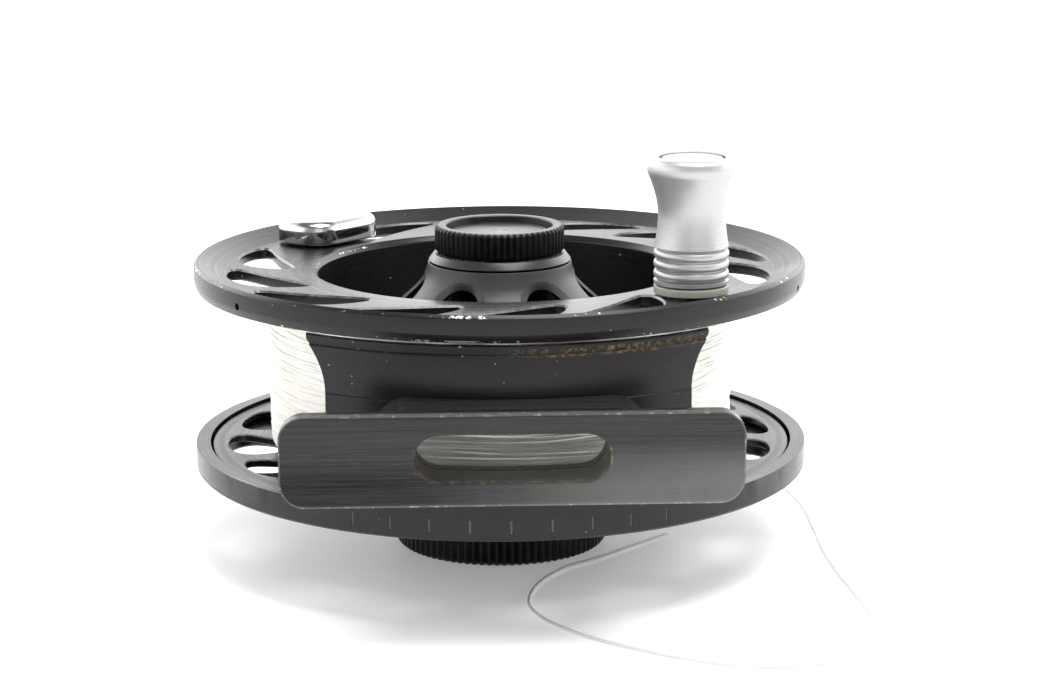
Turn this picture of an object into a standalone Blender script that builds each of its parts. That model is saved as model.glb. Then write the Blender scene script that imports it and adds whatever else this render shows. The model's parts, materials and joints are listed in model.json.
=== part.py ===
"""Large-arbor fly reel, lying on its drag knob.

The reel axis is +Z. The origin is on the axis, on the flat bottom face of the drag knob. The reel
foot points to -Y and runs along X. Lengths below are in millimetres and are scaled to metres by MM
as each shape is made.
"""

import bmesh
import bpy
from math import cos, hypot, pi, radians, sin, sqrt
from mathutils import Matrix, Vector

MM = 0.001
GAP = 0.3                     # clearance between neighbouring pieces
SHARP = radians(35)           # edges bent more than this stay sharp
PAST = 1.0                    # how far a cutter runs past the face it leaves by

# Frame: one turned and milled cup, open at the front
FRAME_RADIUS = 47.8
FRAME_INNER = 45.6
FRAME_BACK = 13.3             # height of the outer back face
FRAME_PLATE_TOP = 15.1
FRAME_HUB_TOP = 16.5
FRAME_HUB_RADIUS = 20.8
FRAME_HUB_FOOT = 21.6         # radius where the raised hub meets the plate
FRAME_CHAMFER = 0.4
FRAME_RIM_TOP = 17.2
PILLAR_LEDGE = 40.05
PILLAR_TOP = 41.3
PILLAR_STEP = 0.9             # depth of the ledge near the pillars' top
PILLAR_HALF = 26.0
REAR_PILLAR_HALF = 10.0
PILLAR_WAIST = (22.5, 33.5)   # heights between which a pillar's sides are straight
PILLAR_FLARE = 2.2            # how far each side sweeps out at both ends

# Spool
RIM_RADIUS = 47.43
RIM_LOW = 41.75
RIM_HIGH = 45.74
RIM_CREST = 46.5              # radius where the sloped inner side of the rim ends
RIM_INNER = (43.2, 43.7)      # radii of the small step under the rim
RIM_CHAMFER = 0.45
WEB_LOW = 42.2
WEB_TOP = 44.0
WEB_OUTER = 42.6
DISH_RADIUS = 28.3
DISH_LIP = 0.8                # chamfer round the mouth of the dish
DISH_CORNER = 1.2             # chamfer round its floor
ARBOR_RADIUS = 30.0
FLANGE_RADIUS = 45.2
FLANGE_LOW = 15.6
FLANGE_TOP = 16.8
CONE_TOP = 44.8
CONE_TOP_RADIUS = 11.15
CONE_RISE = 0.65              # mean slope of the bell-shaped hub cone
CONE_TURN = 0.5               # half the change in slope between its neck and its skirt
CONE_BEND = (2.5, 1.5)        # drop at which the slope turns, and how gently
CONE_WALL = 1.6
CONE_BASE = 29.8
CONE_INSIDE = (28.7, 43.0)    # lowest and highest point of the hollow under the cone
DISH_FLOOR = 29.3
FLOOR_UNDER = 27.5
HUB_CORE_RADIUS = 9.4
HUB_CORE_LOW = 31.4
HUB_NECK_RADIUS = 7.6
HUB_NECK_LOW = 36.8
HUB_SHOULDER = 36.0
HUB_BORE = 4.5
SOCKET_RADIUS = 7.75          # hexagon, corner to axis
SOCKET_TOP = 35.5
WINDOW_COUNT = 6
WINDOW_HEIGHT = 38.2
WINDOW_RADIUS = 3.8
WINDOW_REACH = 23.0

# Swirled ports: count, angle of the first one's outer end, sweep to its inner tip, and the
# scale of its half width, all angles in degrees; then the radii they run between
FRONT_PORTS = (14, 187.3, 18.5, 12.3)
FRONT_PORT_REACH = (32.0, 42.4)
REAR_PORTS = (16, 184.7, 5.6, 11.1)
REAR_PORT_REACH = (31.5, 42.9)
FRAME_PORTS = (7, 184.0, 7.0, 22.0)
FRAME_PORT_REACH = (24.5, 43.6)
BLUNTNESS = (0.55, 6)         # how fast a port widens from its tip, and how square its end is
SOLID_PADS = (5, 12)          # front port places left solid for the handle and the counterweight

# Drag knob and what it drives
KNOB_RADIUS = 16.55
KNOB_TOP = 12.6
KNOB_HOLLOW = 14.2            # radius of the hollow round the thrust nut
KNOB_LIP = 15.9               # radius of the flat lip round its mouth
KNOB_CHAMFERS = (0.6, 0.5)    # at the top and at the bottom edge
KNOB_FLOOR = 4.8
KNOB_BOSS = (5.4, 6.5)        # radius and top of the boss round the spindle
FACE_PLATE = (8.0, 0.9)       # radius and thickness
FACE_RECESS = (8.3, 1.2)
SCREW_RECESS = (4.3, 3.2)     # radius and height of the seat for the knob screw's head
KNOB_SCREW_HEAD = (4.0, 1.5, 2.9)     # radius, bottom and top
KNOB_SCREW_SHANK = (1.4, 7.2)         # radius and top
NUT_INNER = 5.7
NUT_OUTER = 12.6
NUT_CHAMFER = 0.4
NUT_LOW = 6.8
NUT_TOP = 9.6
PIN_CIRCLE = 10.5
PIN_RADIUS = 1.1
PIN_START = 90                # angle of the first of three
PIN_HOLE = 1.5
PLATE_LOW = 17.8
PLATE_TOP = 19.2
PLATE_INNER = 6.0
WASHER_RADII = (6.3, 13.8)
WASHER_CONE = 0.6             # height that each spring washer is dished by
WASHER_PITCH = 1.35
WASHER_THICKNESS = 0.5

# Spindle, drag housing and drive hub
SPINDLE_RADIUS = 2.5
SPINDLE_TOP = 48.0
SPINDLE_LOW = 4.2
SPINDLE_CHAMFER = 0.4
SPINDLE_COLLAR = (5.6, 18.0)  # radius and top of the collar that sits on the frame
SPINDLE_TAP = (1.7, 7.8)      # radius and top of the tapped hole for the knob screw
SPINDLE_NUT = (5.0, 10.6, 13.0)       # corner radius, bottom and top
HOUSING_OUTER = 16.0
HOUSING_INNER = 14.4
HOUSING_LOW = 16.8
HOUSING_TOP = 27.2
LID_TOP = 29.3
LID_INNER = 7.4
LID_LIP = (5.9, 28.2)         # inner radius and top of the lip that holds the seal
LID_CHAMFER = 0.9
SEAL_CENTRE = (6.65, 28.85)
SEAL_RADIUS = 0.35
HOUSING_FLANGE = (20.4, 18.6)         # radius and top
HOUSING_SCREW_CIRCLE = 18.3
HOUSING_SCREW_START = 30      # angle of the first of three
HOUSING_SCREW_HEAD = (1.7, 18.9, 20.0)        # radius, bottom and top
HOUSING_SCREW_SHANK = (1.0, 14.8)     # radius and bottom
HOUSING_SCREW_HOLE = 1.3
HOUSING_TAP_LOW = 14.4
DISC_OUTER = 14.1
STACK_LOW = 22.6              # underside of the first friction disc
FRICTION_DISC = 0.8
STATOR_DISC = 0.5
FRICTION_RADII = (7.7, 13.5)
STATOR_INNER = 8.2
SLEEVE = (5.6, 18.4, 33.0)    # radius, bottom and top of the drive hub's sleeve
HEXAGON = (7.4, 31.1, 35.1)   # corner radius, bottom and top of its head
SLEEVE_BORE = 4.3
CLUTCH_RADII = (5.9, 7.4)
CLUTCH_TOP = 27.1
BEARING_RADII = (2.8, 4.0)
BEARING_LOW = (18.6, 26.5)
BEARING_HEIGHT = 2.5
CLICK_TEETH = 36
CLICK_RADII = (8.7, 9.4)      # root and tip of the teeth
CLICK_BORE = 5.9
CLICK_LEVELS = (29.6, 30.8)
PAWL_LEVELS = (29.9, 30.9)
BRACKET_TOP = 31.8

# Handle, counterweight and release cap
HANDLE_CIRCLE = 36.7
HANDLE_ANGLE = -41.7
HANDLE_LOW = 45.75
HANDLE_TOP = 64.4
WEIGHT_CIRCLE = 37.0
WEIGHT_ANGLE = 138.3
WEIGHT_SIZE = (11.5, 17.0, 4.2)
WEIGHT_CORNER = 3.0
WEIGHT_ROUND = 0.9            # rounding of its edges
WEIGHT_TAP = (1.8, 2.6)       # radius and depth
WEIGHT_SCREW = (1.5, 46.4)    # radius and top
WEIGHT_HOLE = 1.8
HANDLE_HOLE = 2.3
POST_HEAD = (3.6, 62.1, 62.9)         # radius, bottom and top
POST_COLLAR = (2.9, 44.3, 45.7)
POST_RADIUS = 2.0
HANDLE_WASHER = (3.2, 5.5, 44.3, 45.45)
HANDLE_WAIST = 55.8           # height where the grip is thinnest
HANDLE_WAIST_RADIUS = 4.95
HANDLE_FLARE = (1.65, 0.5)    # growth in radius above and below the waist
HANDLE_BEADS = (50.1, 48.6, 47.1)     # heights of the three beads
BEAD_RADIUS = 5.55
BEAD_ROOT = 5.1
HANDLE_BORE = 3.7
HANDLE_BUSHING = (2.3, 3.4, 46.0, 61.6)
CAP_SEAT = (4.9, 61.9)        # radius and floor of the seat for the handle's cap
HANDLE_CAP = (4.5, 63.3, 64.2)        # radius, bottom and top
CAP_RADIUS = 10.07
CAP_LOW = 46.5
CAP_TOP = 50.5
CAP_DISH = 48.95              # floor of the dish in its top
CAP_LIP = (8.1, 8.5, 9.6)     # radii of the dish's floor and of the flat lip round it
CAP_ROOF = 48.3               # top of the bore inside
CAP_INLAY = (7.4, 7.6, 49.25, 49.6)   # top and bottom radius, bottom and top
CAP_WASHER = (3.1, 9.3, 45.9, 46.2)
BUSHING_TOP = 44.4
BUSHING_LOW = 36.6
COLLAR_INNER = 3.1
COLLAR_RECESS = (9.6, 45.6)
COLLAR_RADII = (10.3, 11.1)
COLLAR_LEVELS = (45.1, 45.3, 46.2)

# Line
LINE_RADIUS = 36.2
LINE_DIAMETER = 0.5
LINE_POINTS = 80
PACK_CORNER = (0.7, 1.2)      # chamfer of the wound line, in and along

# Reel foot
FOOT_FACE = 55.8
FOOT_BACK = 52.8
FOOT_LENGTH = 64.0
FOOT_WIDTH = 12.9
FOOT_HEIGHT = 27.35           # height of the foot's centre line
FOOT_CORNER = 3.6
FOOT_HOLLOW = 20.0            # radius of the hollow that sits on the rod
STEM_SIZE = (38.0, 13.4)
STEM_CORNER = 5.0
STEM_LEVELS = (40.0, 53.5)    # distances from the axis that its blank runs between
SLOT_SIZE = (27.0, 7.0)
SLOT_LEVELS = (40.0, 60.0)
FOOT_TILT = 3.75              # turns a flat strip of the hollow to the foot's lower edge
FOOT_FLAT = 0.6               # flat strip left along each long edge
FOOT_SCREW_X = 16.3
FOOT_SCREW_HOLE = 1.6
FOOT_SCREW_BORE = (2.6, 43.7) # radius and floor of the seat for its head
FOOT_TAP = (1.55, 51.8)       # radius and end
SCREW_SHANK = (1.25, 51.4)    # radius and end
SCREW_HEAD = (2.2, 42.4, 43.3)        # radius and the two ends

BLACK = ("black_anodised", (0.030, 0.030, 0.033), 0.38, 0.85)
BLACK_KNOB = ("black_knurl", (0.018, 0.018, 0.020), 0.42, 0.8)
SATIN = ("satin_aluminium", (0.72, 0.73, 0.74), 0.30, 1.0)
POLISHED = ("polished_steel", (0.80, 0.80, 0.80), 0.12, 1.0)
STEEL = ("stainless_steel", (0.55, 0.55, 0.56), 0.28, 1.0)
SPRING = ("spring_steel", (0.42, 0.42, 0.45), 0.30, 1.0)
CARBON = ("carbon_disc", (0.035, 0.035, 0.038), 0.55, 0.0)
POLYMER = ("washer_polymer", (0.58, 0.62, 0.55), 0.35, 0.0)
ACETAL = ("black_acetal", (0.02, 0.02, 0.02), 0.45, 0.0)
RUBBER = ("seal_rubber", (0.015, 0.015, 0.015), 0.7, 0.0)
BRONZE = ("bronze_bush", (0.45, 0.31, 0.15), 0.35, 1.0)
BACKING = ("white_line", (0.80, 0.79, 0.74), 0.6, 0.0)
CLEAR_LINE = ("loose_line", (0.78, 0.78, 0.75), 0.3, 0.0)

for old in list(bpy.data.objects):
    bpy.data.objects.remove(old)
PARTS = bpy.data.collections.new("fly_reel")
CUTTERS = bpy.data.collections.new("cutters")
bpy.context.scene.collection.children.link(PARTS)
bpy.context.scene.collection.children.link(CUTTERS)


def finish_of(kind):
    """The Principled material of a kind, made once."""
    name, colour, roughness, metallic = kind
    found = bpy.data.materials.get(name)
    if found:
        return found
    made = bpy.data.materials.new(name)
    made.use_nodes = True
    shader = made.node_tree.nodes["Principled BSDF"]
    shader.inputs["Base Color"].default_value = (*colour, 1.0)
    shader.inputs["Roughness"].default_value = roughness
    shader.inputs["Metallic"].default_value = metallic
    return made


def add_part(name, mesh, kind, smooth=True):
    """Puts a mesh in the part collection as one named sub-part."""
    part = bpy.data.objects.new(name, mesh)
    mesh.materials.append(finish_of(kind))
    if smooth:
        mesh.shade_smooth()
        mesh.set_sharp_from_angle(angle=SHARP)
    PARTS.objects.link(part)
    return part


def add_cutter(name, mesh):
    """Puts a mesh in the cutter collection, hidden from the model."""
    cutter = bpy.data.objects.new(name, mesh)
    cutter.hide_render = True
    cutter.display_type = "WIRE"
    CUTTERS.objects.link(cutter)
    return cutter


def combine(part, cutter, operation):
    """One exact Boolean between a sub-part and a cutter."""
    boolean = part.modifiers.new(operation.lower(), "BOOLEAN")
    boolean.operation = operation
    boolean.solver = "EXACT"
    boolean.object = cutter


def cut(part, cutter):
    combine(part, cutter, "DIFFERENCE")


def polar(radius, angle):
    """X and Y of a point at a radius and an angle in degrees."""
    return radius * cos(radians(angle)), radius * sin(radians(angle))


def turned_mesh(name, profile, closed):
    """A wire of (radius, height) points in the XZ plane, down the outer side first."""
    mesh = bpy.data.meshes.new(name)
    points = [(r * MM, 0.0, z * MM) for r, z in profile]
    edges = [(i, i + 1) for i in range(len(points) - 1)]
    if closed:
        edges.append((len(points) - 1, 0))
    mesh.from_pydata(points, edges, [])
    return mesh


def spin(part, steps):
    """Turns a profile about Z with a Screw modifier."""
    screw = part.modifiers.new("turn", "SCREW")
    screw.axis = "Z"
    screw.angle = 2 * pi
    screw.steps = screw.render_steps = steps
    screw.use_merge_vertices = True
    screw.merge_threshold = 0.00001
    screw.use_smooth_shade = True


def turned(name, profile, kind, steps=40, at=(0.0, 0.0), closed=True):
    """A turned sub-part. A solid one starts and ends on the axis, so its profile stays open."""
    part = add_part(name, turned_mesh(name, profile, closed), kind, smooth=False)
    part.location = (at[0] * MM, at[1] * MM, 0.0)
    spin(part, steps)
    return part


def ring(inner, outer, low, high, edge=0.0):
    """Profile of a plain ring, with its outer edges broken by a small chamfer."""
    if not edge:
        return [(inner, high), (outer, high), (outer, low), (inner, low)]
    return [(inner, high), (outer - edge, high), (outer, high - edge),
            (outer, low + edge), (outer - edge, low), (inner, low)]


def pin(radius, low, high):
    """Half profile of a plain solid pin or disc."""
    return [(0.0, high), (radius, high), (radius, low), (0.0, low)]


def prism_mesh(name, outlines, low, high):
    """Closed prisms over flat outlines in XY, all in one mesh, each running anticlockwise."""
    shape = bmesh.new()
    for outline in outlines:
        base = [shape.verts.new((x * MM, y * MM, low * MM)) for x, y in outline]
        face = shape.faces.new(base)
        raised = bmesh.ops.extrude_face_region(shape, geom=[face], use_keep_orig=True)
        verts = [v for v in raised["geom"] if isinstance(v, bmesh.types.BMVert)]
        bmesh.ops.translate(shape, verts=verts, vec=(0.0, 0.0, (high - low) * MM))
    bmesh.ops.recalc_face_normals(shape, faces=shape.faces)
    mesh = bpy.data.meshes.new(name)
    shape.to_mesh(mesh)
    shape.free()
    return mesh


def upright(mesh):
    """Turns a prism made in XY so that its outline faces -Y: outline Y becomes height."""
    mesh.transform(Matrix.Rotation(radians(90), 4, "X"))
    return mesh


def rod_mesh(name, radius, low, high, sides=20):
    """A round bar along Z from a low to a high height."""
    shape = bmesh.new()
    bmesh.ops.create_cone(shape, cap_ends=True, segments=sides, radius1=radius * MM,
                          radius2=radius * MM, depth=(high - low) * MM)
    bmesh.ops.translate(shape, verts=shape.verts, vec=(0.0, 0.0, (low + high) / 2 * MM))
    mesh = bpy.data.meshes.new(name)
    shape.to_mesh(mesh)
    shape.free()
    return mesh


def rod_cutter(name, radius, low, high, at, sides=20):
    cutter = add_cutter(name, rod_mesh(name, radius, low, high, sides))
    cutter.location = (at[0] * MM, at[1] * MM, 0.0)
    return cutter


def port_outline(start, sweep, spread, inner, outer, points=5):
    """A leaf that is blunt at its outer end and sweeps round to a pointed inner tip."""
    def edge(share, side):
        radius = inner + (outer - inner) * share
        middle = start + sweep * (1.0 - share)
        widening, squareness = BLUNTNESS
        half = spread * share ** widening * sqrt(max(0.0, 1.0 - share ** squareness))
        return polar(radius, middle + side * half)

    shares = [sin(pi / 2 * i / points) for i in range(1, points)]
    rising = [edge(s, -1) for s in shares]
    falling = [edge(s, 1) for s in reversed(shares)]
    return [edge(0.0, 0)] + rising + [edge(1.0, 0)] + falling


def ports_cutter(name, pattern, reach, low, high, skip=()):
    """One cutter for a whole ring of ports, all but those at the skipped places."""
    count, start, sweep, spread = pattern
    inner, outer = reach
    outlines = [port_outline(start + k * 360.0 / count, sweep, spread, inner, outer)
                for k in range(count) if k not in skip]
    return add_cutter(name, prism_mesh(name, outlines, low - PAST, high + PAST))


def hexagon(radius):
    """Corners of a regular hexagon."""
    return [polar(radius, 60 * k) for k in range(6)]


def stadium(length, width, centre=(0.0, 0.0), turns=8):
    """Outline of a slot with half-round ends, along X."""
    radius = width / 2
    half = length / 2 - radius
    right = [(half + radius * cos(a), radius * sin(a))
             for a in [-pi / 2 + pi * i / turns for i in range(turns + 1)]]
    left = [(-x, -y) for x, y in right]
    return [(x + centre[0], y + centre[1]) for x, y in right + left]


def rounded_box(length, width, corner, centre=(0.0, 0.0), turns=4):
    """Outline of a rectangle with rounded corners."""
    points = []
    for quarter in range(4):
        sx = 1 if quarter in (0, 3) else -1
        sy = 1 if quarter in (0, 1) else -1
        cx, cy = sx * (length / 2 - corner), sy * (width / 2 - corner)
        for i in range(turns + 1):
            a = pi / 2 * (quarter + i / turns)
            points.append((centre[0] + cx + corner * cos(a), centre[1] + cy + corner * sin(a)))
    return points


def cone_radius(height):
    """Outer radius of the spool's hub cone at a height: a steep neck over a spreading skirt."""
    drop = CONE_TOP - height
    bend, softness = CONE_BEND
    turn = hypot(drop - bend, softness) - hypot(bend, softness)
    return CONE_TOP_RADIUS + CONE_RISE * drop + CONE_TURN * turn


def cone_inner(height):
    """Inner radius of the hub cone, for a wall of even thickness."""
    bend, softness = CONE_BEND
    past = CONE_TOP - height - bend
    slope = CONE_RISE + CONE_TURN * past / hypot(past, softness)
    return cone_radius(height) - CONE_WALL * sqrt(1.0 + slope * slope)


def evenly(first, last, count):
    """Numbers at even steps from the first to the last."""
    return [first + (last - first) * i / (count - 1) for i in range(count)]


# ---------------------------------------------------------------- frame and foot

def pillar_half(height, half):
    """Half width of a pillar at a height: straight waist, swept out towards both ends."""
    low, high = PILLAR_WAIST
    above = max(0.0, (height - high) / (PILLAR_LEDGE - high))
    below = max(0.0, (low - height) / (low - FRAME_RIM_TOP))
    return half + PILLAR_FLARE * (min(above, 1.1) ** 2 + below ** 2)


def window_outline(half, side):
    """Side window of the frame seen from the front: everything outside one edge of a pillar."""
    heights = evenly(FRAME_RIM_TOP, PILLAR_TOP + PAST, 15)
    edge = [(side * pillar_half(z, half), z) for z in heights]
    far = side * (FRAME_RADIUS + 8 * PAST)
    outline = edge + [(far, heights[-1]), (far, heights[0])]
    return outline if side < 0 else outline[::-1]


def make_frame():
    """The turned cup, its side windows, ports, foot slot and drilled holes."""
    bore = SPINDLE_RADIUS + GAP
    profile = [
        (bore, FRAME_HUB_TOP), (FRAME_HUB_RADIUS, FRAME_HUB_TOP),
        (FRAME_HUB_FOOT, FRAME_PLATE_TOP), (FRAME_INNER, FRAME_PLATE_TOP),
        (FRAME_INNER, PILLAR_TOP), (FRAME_RADIUS - PILLAR_STEP, PILLAR_TOP),
        (FRAME_RADIUS - PILLAR_STEP, PILLAR_LEDGE), (FRAME_RADIUS, PILLAR_LEDGE),
        (FRAME_RADIUS, FRAME_BACK + FRAME_CHAMFER), (FRAME_RADIUS - FRAME_CHAMFER, FRAME_BACK),
        (bore, FRAME_BACK),
    ]
    frame = turned("frame", profile, BLACK, steps=48)
    reach = FRAME_RADIUS + 6 * PAST
    across = PAST / 2
    for name, half, near, far in (("front", PILLAR_HALF, -reach, across),
                                  ("rear", REAR_PILLAR_HALF, -across, reach)):
        for side in (-1, 1):
            window = prism_mesh("window", [window_outline(half, side)], -far, -near)
            cut(frame, add_cutter(f"{name}_window_{side}", upright(window)))
    cut(frame, ports_cutter("frame_ports", FRAME_PORTS, FRAME_PORT_REACH, FRAME_BACK,
                            FRAME_PLATE_TOP))
    slot = prism_mesh("slot", [stadium(*SLOT_SIZE, (0.0, FOOT_HEIGHT))], *SLOT_LEVELS)
    cut(frame, add_cutter("pillar_slot", upright(slot)))
    inside = SLOT_LEVELS[0]
    bore, seat = FOOT_SCREW_BORE
    for side in (-1, 1):
        for name, radius, end in (("hole", FOOT_SCREW_HOLE, FRAME_RADIUS + 2 * PAST),
                                  ("bore", bore, seat)):
            drill = add_cutter(f"foot_{name}_{side}", upright(rod_mesh(name, radius, inside, end, 16)))
            drill.location = (side * FOOT_SCREW_X * MM, 0.0, FOOT_HEIGHT * MM)
            cut(frame, drill)
    for k in range(3):
        at = polar(PIN_CIRCLE, PIN_START + 120 * k)
        cut(frame, rod_cutter(f"pin_hole_{k}", PIN_HOLE, FRAME_BACK - PAST,
                              FRAME_HUB_TOP + PAST, at, 16))
        at = polar(HOUSING_SCREW_CIRCLE, HOUSING_SCREW_START + 120 * k)
        cut(frame, rod_cutter(f"tapped_hole_{k}", HOUSING_SCREW_HOLE, HOUSING_TAP_LOW,
                              FRAME_HUB_TOP + PAST, at, 16))


def make_foot():
    """The foot with its stem and slot, hollowed along its face, and its two screws."""
    outline = rounded_box(FOOT_LENGTH, FOOT_WIDTH, FOOT_CORNER, (0.0, FOOT_HEIGHT))
    foot = add_part("reel_foot", upright(prism_mesh("foot", [outline], FOOT_BACK, FOOT_FACE)),
                    BLACK, smooth=False)
    stem_outline = rounded_box(*STEM_SIZE, STEM_CORNER, (0.0, FOOT_HEIGHT), 6)
    stem = add_cutter("foot_stem", upright(prism_mesh("stem", [stem_outline], *STEM_LEVELS)))
    reach = STEM_SIZE[1]
    seat = rod_mesh("seat", FRAME_RADIUS + GAP, FOOT_HEIGHT - reach, FOOT_HEIGHT + reach, 80)
    cut(stem, add_cutter("stem_seat", seat))
    combine(foot, stem, "UNION")
    slot = prism_mesh("slot", [stadium(*SLOT_SIZE, (0.0, FOOT_HEIGHT))], *SLOT_LEVELS)
    cut(foot, add_cutter("foot_slot", upright(slot)))
    hollow = rod_mesh("hollow", FOOT_HOLLOW, -FOOT_LENGTH, FOOT_LENGTH, 48)
    hollow.transform(Matrix.Rotation(radians(FOOT_TILT), 4, "Z"))
    hollow.transform(Matrix.Rotation(radians(90), 4, "Y"))
    depth = sqrt(FOOT_HOLLOW ** 2 - (FOOT_WIDTH / 2 - FOOT_FLAT) ** 2)
    cutter = add_cutter("foot_hollow", hollow)
    cutter.location = (0.0, -(FOOT_FACE + depth) * MM, FOOT_HEIGHT * MM)
    cut(foot, cutter)
    tap, tap_end = FOOT_TAP
    shank, tip = SCREW_SHANK
    head, head_end, head_seat = SCREW_HEAD
    profile = [(0.0, -head_end), (head, -head_end), (head, -head_seat), (shank, -head_seat),
               (shank, -tip), (0.0, -tip)]
    for side, word in ((-1, "left"), (1, "right")):
        at = (side * FOOT_SCREW_X * MM, 0.0, FOOT_HEIGHT * MM)
        drilled = rod_mesh("tap", tap, SLOT_LEVELS[0], tap_end, 16)
        hole = add_cutter(f"foot_tap_{word}", upright(drilled))
        hole.location = at
        cut(foot, hole)
        screw = turned(f"foot_screw_{word}", profile, STEEL, steps=16, closed=False)
        screw.rotation_euler = (radians(-90), 0.0, 0.0)
        screw.location = at


# ---------------------------------------------------------------- drag knob and its thrust train

def make_knob():
    """The drag knob, the plate over its screw, and the screw."""
    bore = SPINDLE_RADIUS + GAP
    boss, boss_top = KNOB_BOSS
    recess, recess_top = FACE_RECESS
    seat, seat_top = SCREW_RECESS
    upper, lower = KNOB_CHAMFERS
    profile = [
        (bore, boss_top), (boss, boss_top), (boss, KNOB_FLOOR), (KNOB_HOLLOW, KNOB_FLOOR),
        (KNOB_HOLLOW, KNOB_TOP), (KNOB_LIP, KNOB_TOP), (KNOB_RADIUS, KNOB_TOP - upper),
        (KNOB_RADIUS, lower), (KNOB_RADIUS - lower, 0.0), (recess, 0.0), (recess, recess_top),
        (seat, recess_top), (seat, seat_top), (bore, seat_top),
    ]
    turned("drag_knob", profile, BLACK_KNOB, steps=32)
    radius, top = FACE_PLATE
    turned("knob_face_plate", pin(radius, 0.0, top), BLACK, 28, closed=False)
    head, low, high = KNOB_SCREW_HEAD
    shank, tip = KNOB_SCREW_SHANK
    screw = [(0.0, tip), (shank, tip), (shank, high), (head, high), (head, low), (0.0, low)]
    turned("knob_screw", screw, STEEL, 24, closed=False)


def make_thrust_train():
    """The nut on the knob's thread, three push pins, the pressure plate and spring washers."""
    turned("thrust_nut", ring(NUT_INNER, NUT_OUTER, NUT_LOW, NUT_TOP, NUT_CHAMFER), BRONZE, 28)
    for k in range(3):
        at = polar(PIN_CIRCLE, PIN_START + 120 * k)
        profile = pin(PIN_RADIUS, NUT_TOP + GAP, PLATE_LOW - GAP)
        turned(f"push_pin_{k + 1}", profile, STEEL, 16, at, closed=False)
    turned("pressure_plate", ring(PLATE_INNER, DISC_OUTER, PLATE_LOW, PLATE_TOP), STEEL, 28)
    inner, outer = WASHER_RADII
    for k in range(2):
        low = PLATE_TOP + GAP + WASHER_PITCH * k
        inner_low, outer_low = (low, low + WASHER_CONE) if k == 0 else (low + WASHER_CONE, low)
        washer = [(inner, inner_low + WASHER_THICKNESS), (outer, outer_low + WASHER_THICKNESS),
                  (outer, outer_low), (inner, inner_low)]
        turned(f"spring_washer_{k + 1}", washer, SPRING, 24)


# ---------------------------------------------------------------- spindle and drag housing

def make_spindle():
    """The fixed spindle and the nut that holds it in the frame."""
    collar, collar_top = SPINDLE_COLLAR
    tap, tap_top = SPINDLE_TAP
    profile = [
        (0.0, SPINDLE_TOP), (SPINDLE_RADIUS - SPINDLE_CHAMFER, SPINDLE_TOP),
        (SPINDLE_RADIUS, SPINDLE_TOP - SPINDLE_CHAMFER), (SPINDLE_RADIUS, collar_top),
        (collar, collar_top), (collar, HOUSING_LOW), (SPINDLE_RADIUS, HOUSING_LOW),
        (SPINDLE_RADIUS, SPINDLE_LOW), (tap, SPINDLE_LOW), (tap, tap_top), (0.0, tap_top),
    ]
    turned("spindle", profile, STEEL, 20, closed=False)
    corner, low, high = SPINDLE_NUT
    nut = add_part("spindle_nut", prism_mesh("nut", [hexagon(corner)], low, high), STEEL,
                   smooth=False)
    cut(nut, rod_cutter("spindle_nut_bore", SPINDLE_RADIUS + GAP, low - PAST, high + PAST,
                        (0, 0), 24))


def make_housing():
    """The drag housing, its three screws, its lid and the seal in the lid."""
    flange, flange_top = HOUSING_FLANGE
    profile = [
        (HOUSING_INNER, HOUSING_TOP), (HOUSING_OUTER, HOUSING_TOP), (HOUSING_OUTER, flange_top),
        (flange, flange_top), (flange, HOUSING_LOW), (HOUSING_INNER, HOUSING_LOW),
    ]
    housing = turned("drag_housing", profile, BLACK, 32)
    head, head_low, head_top = HOUSING_SCREW_HEAD
    shank, tip = HOUSING_SCREW_SHANK
    screw = [(0.0, head_top), (head, head_top), (head, head_low), (shank, head_low),
             (shank, tip), (0.0, tip)]
    for k in range(3):
        at = polar(HOUSING_SCREW_CIRCLE, HOUSING_SCREW_START + 120 * k)
        cut(housing, rod_cutter(f"flange_hole_{k}", HOUSING_SCREW_HOLE, HOUSING_LOW - PAST,
                                flange_top + PAST, at, 16))
        turned(f"housing_screw_{k + 1}", screw, STEEL, 16, at, closed=False)
    under = HOUSING_TOP + GAP
    lip, lip_top = LID_LIP
    lid = [
        (LID_INNER, LID_TOP), (HOUSING_OUTER - LID_CHAMFER, LID_TOP),
        (HOUSING_OUTER, LID_TOP - LID_CHAMFER), (HOUSING_OUTER, under), (lip, under),
        (lip, lip_top), (LID_INNER, lip_top),
    ]
    turned("housing_lid", lid, BLACK, 32)
    middle, height = SEAL_CENTRE
    seal = [(middle + SEAL_RADIUS * cos(pi / 3 * i), height - SEAL_RADIUS * sin(pi / 3 * i))
            for i in range(6)]
    turned("lid_seal", seal, RUBBER, 20)


def make_disc_stack():
    """Three friction discs with two stator discs between them."""
    level = STACK_LOW
    for k in range(3):
        disc = ring(*FRICTION_RADII, level, level + FRICTION_DISC)
        turned(f"friction_disc_{k + 1}", disc, CARBON, 24)
        level += FRICTION_DISC + GAP
        if k < 2:
            disc = ring(STATOR_INNER, DISC_OUTER, level, level + STATOR_DISC)
            turned(f"stator_disc_{k + 1}", disc, STEEL, 24)
            level += STATOR_DISC + GAP


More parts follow.
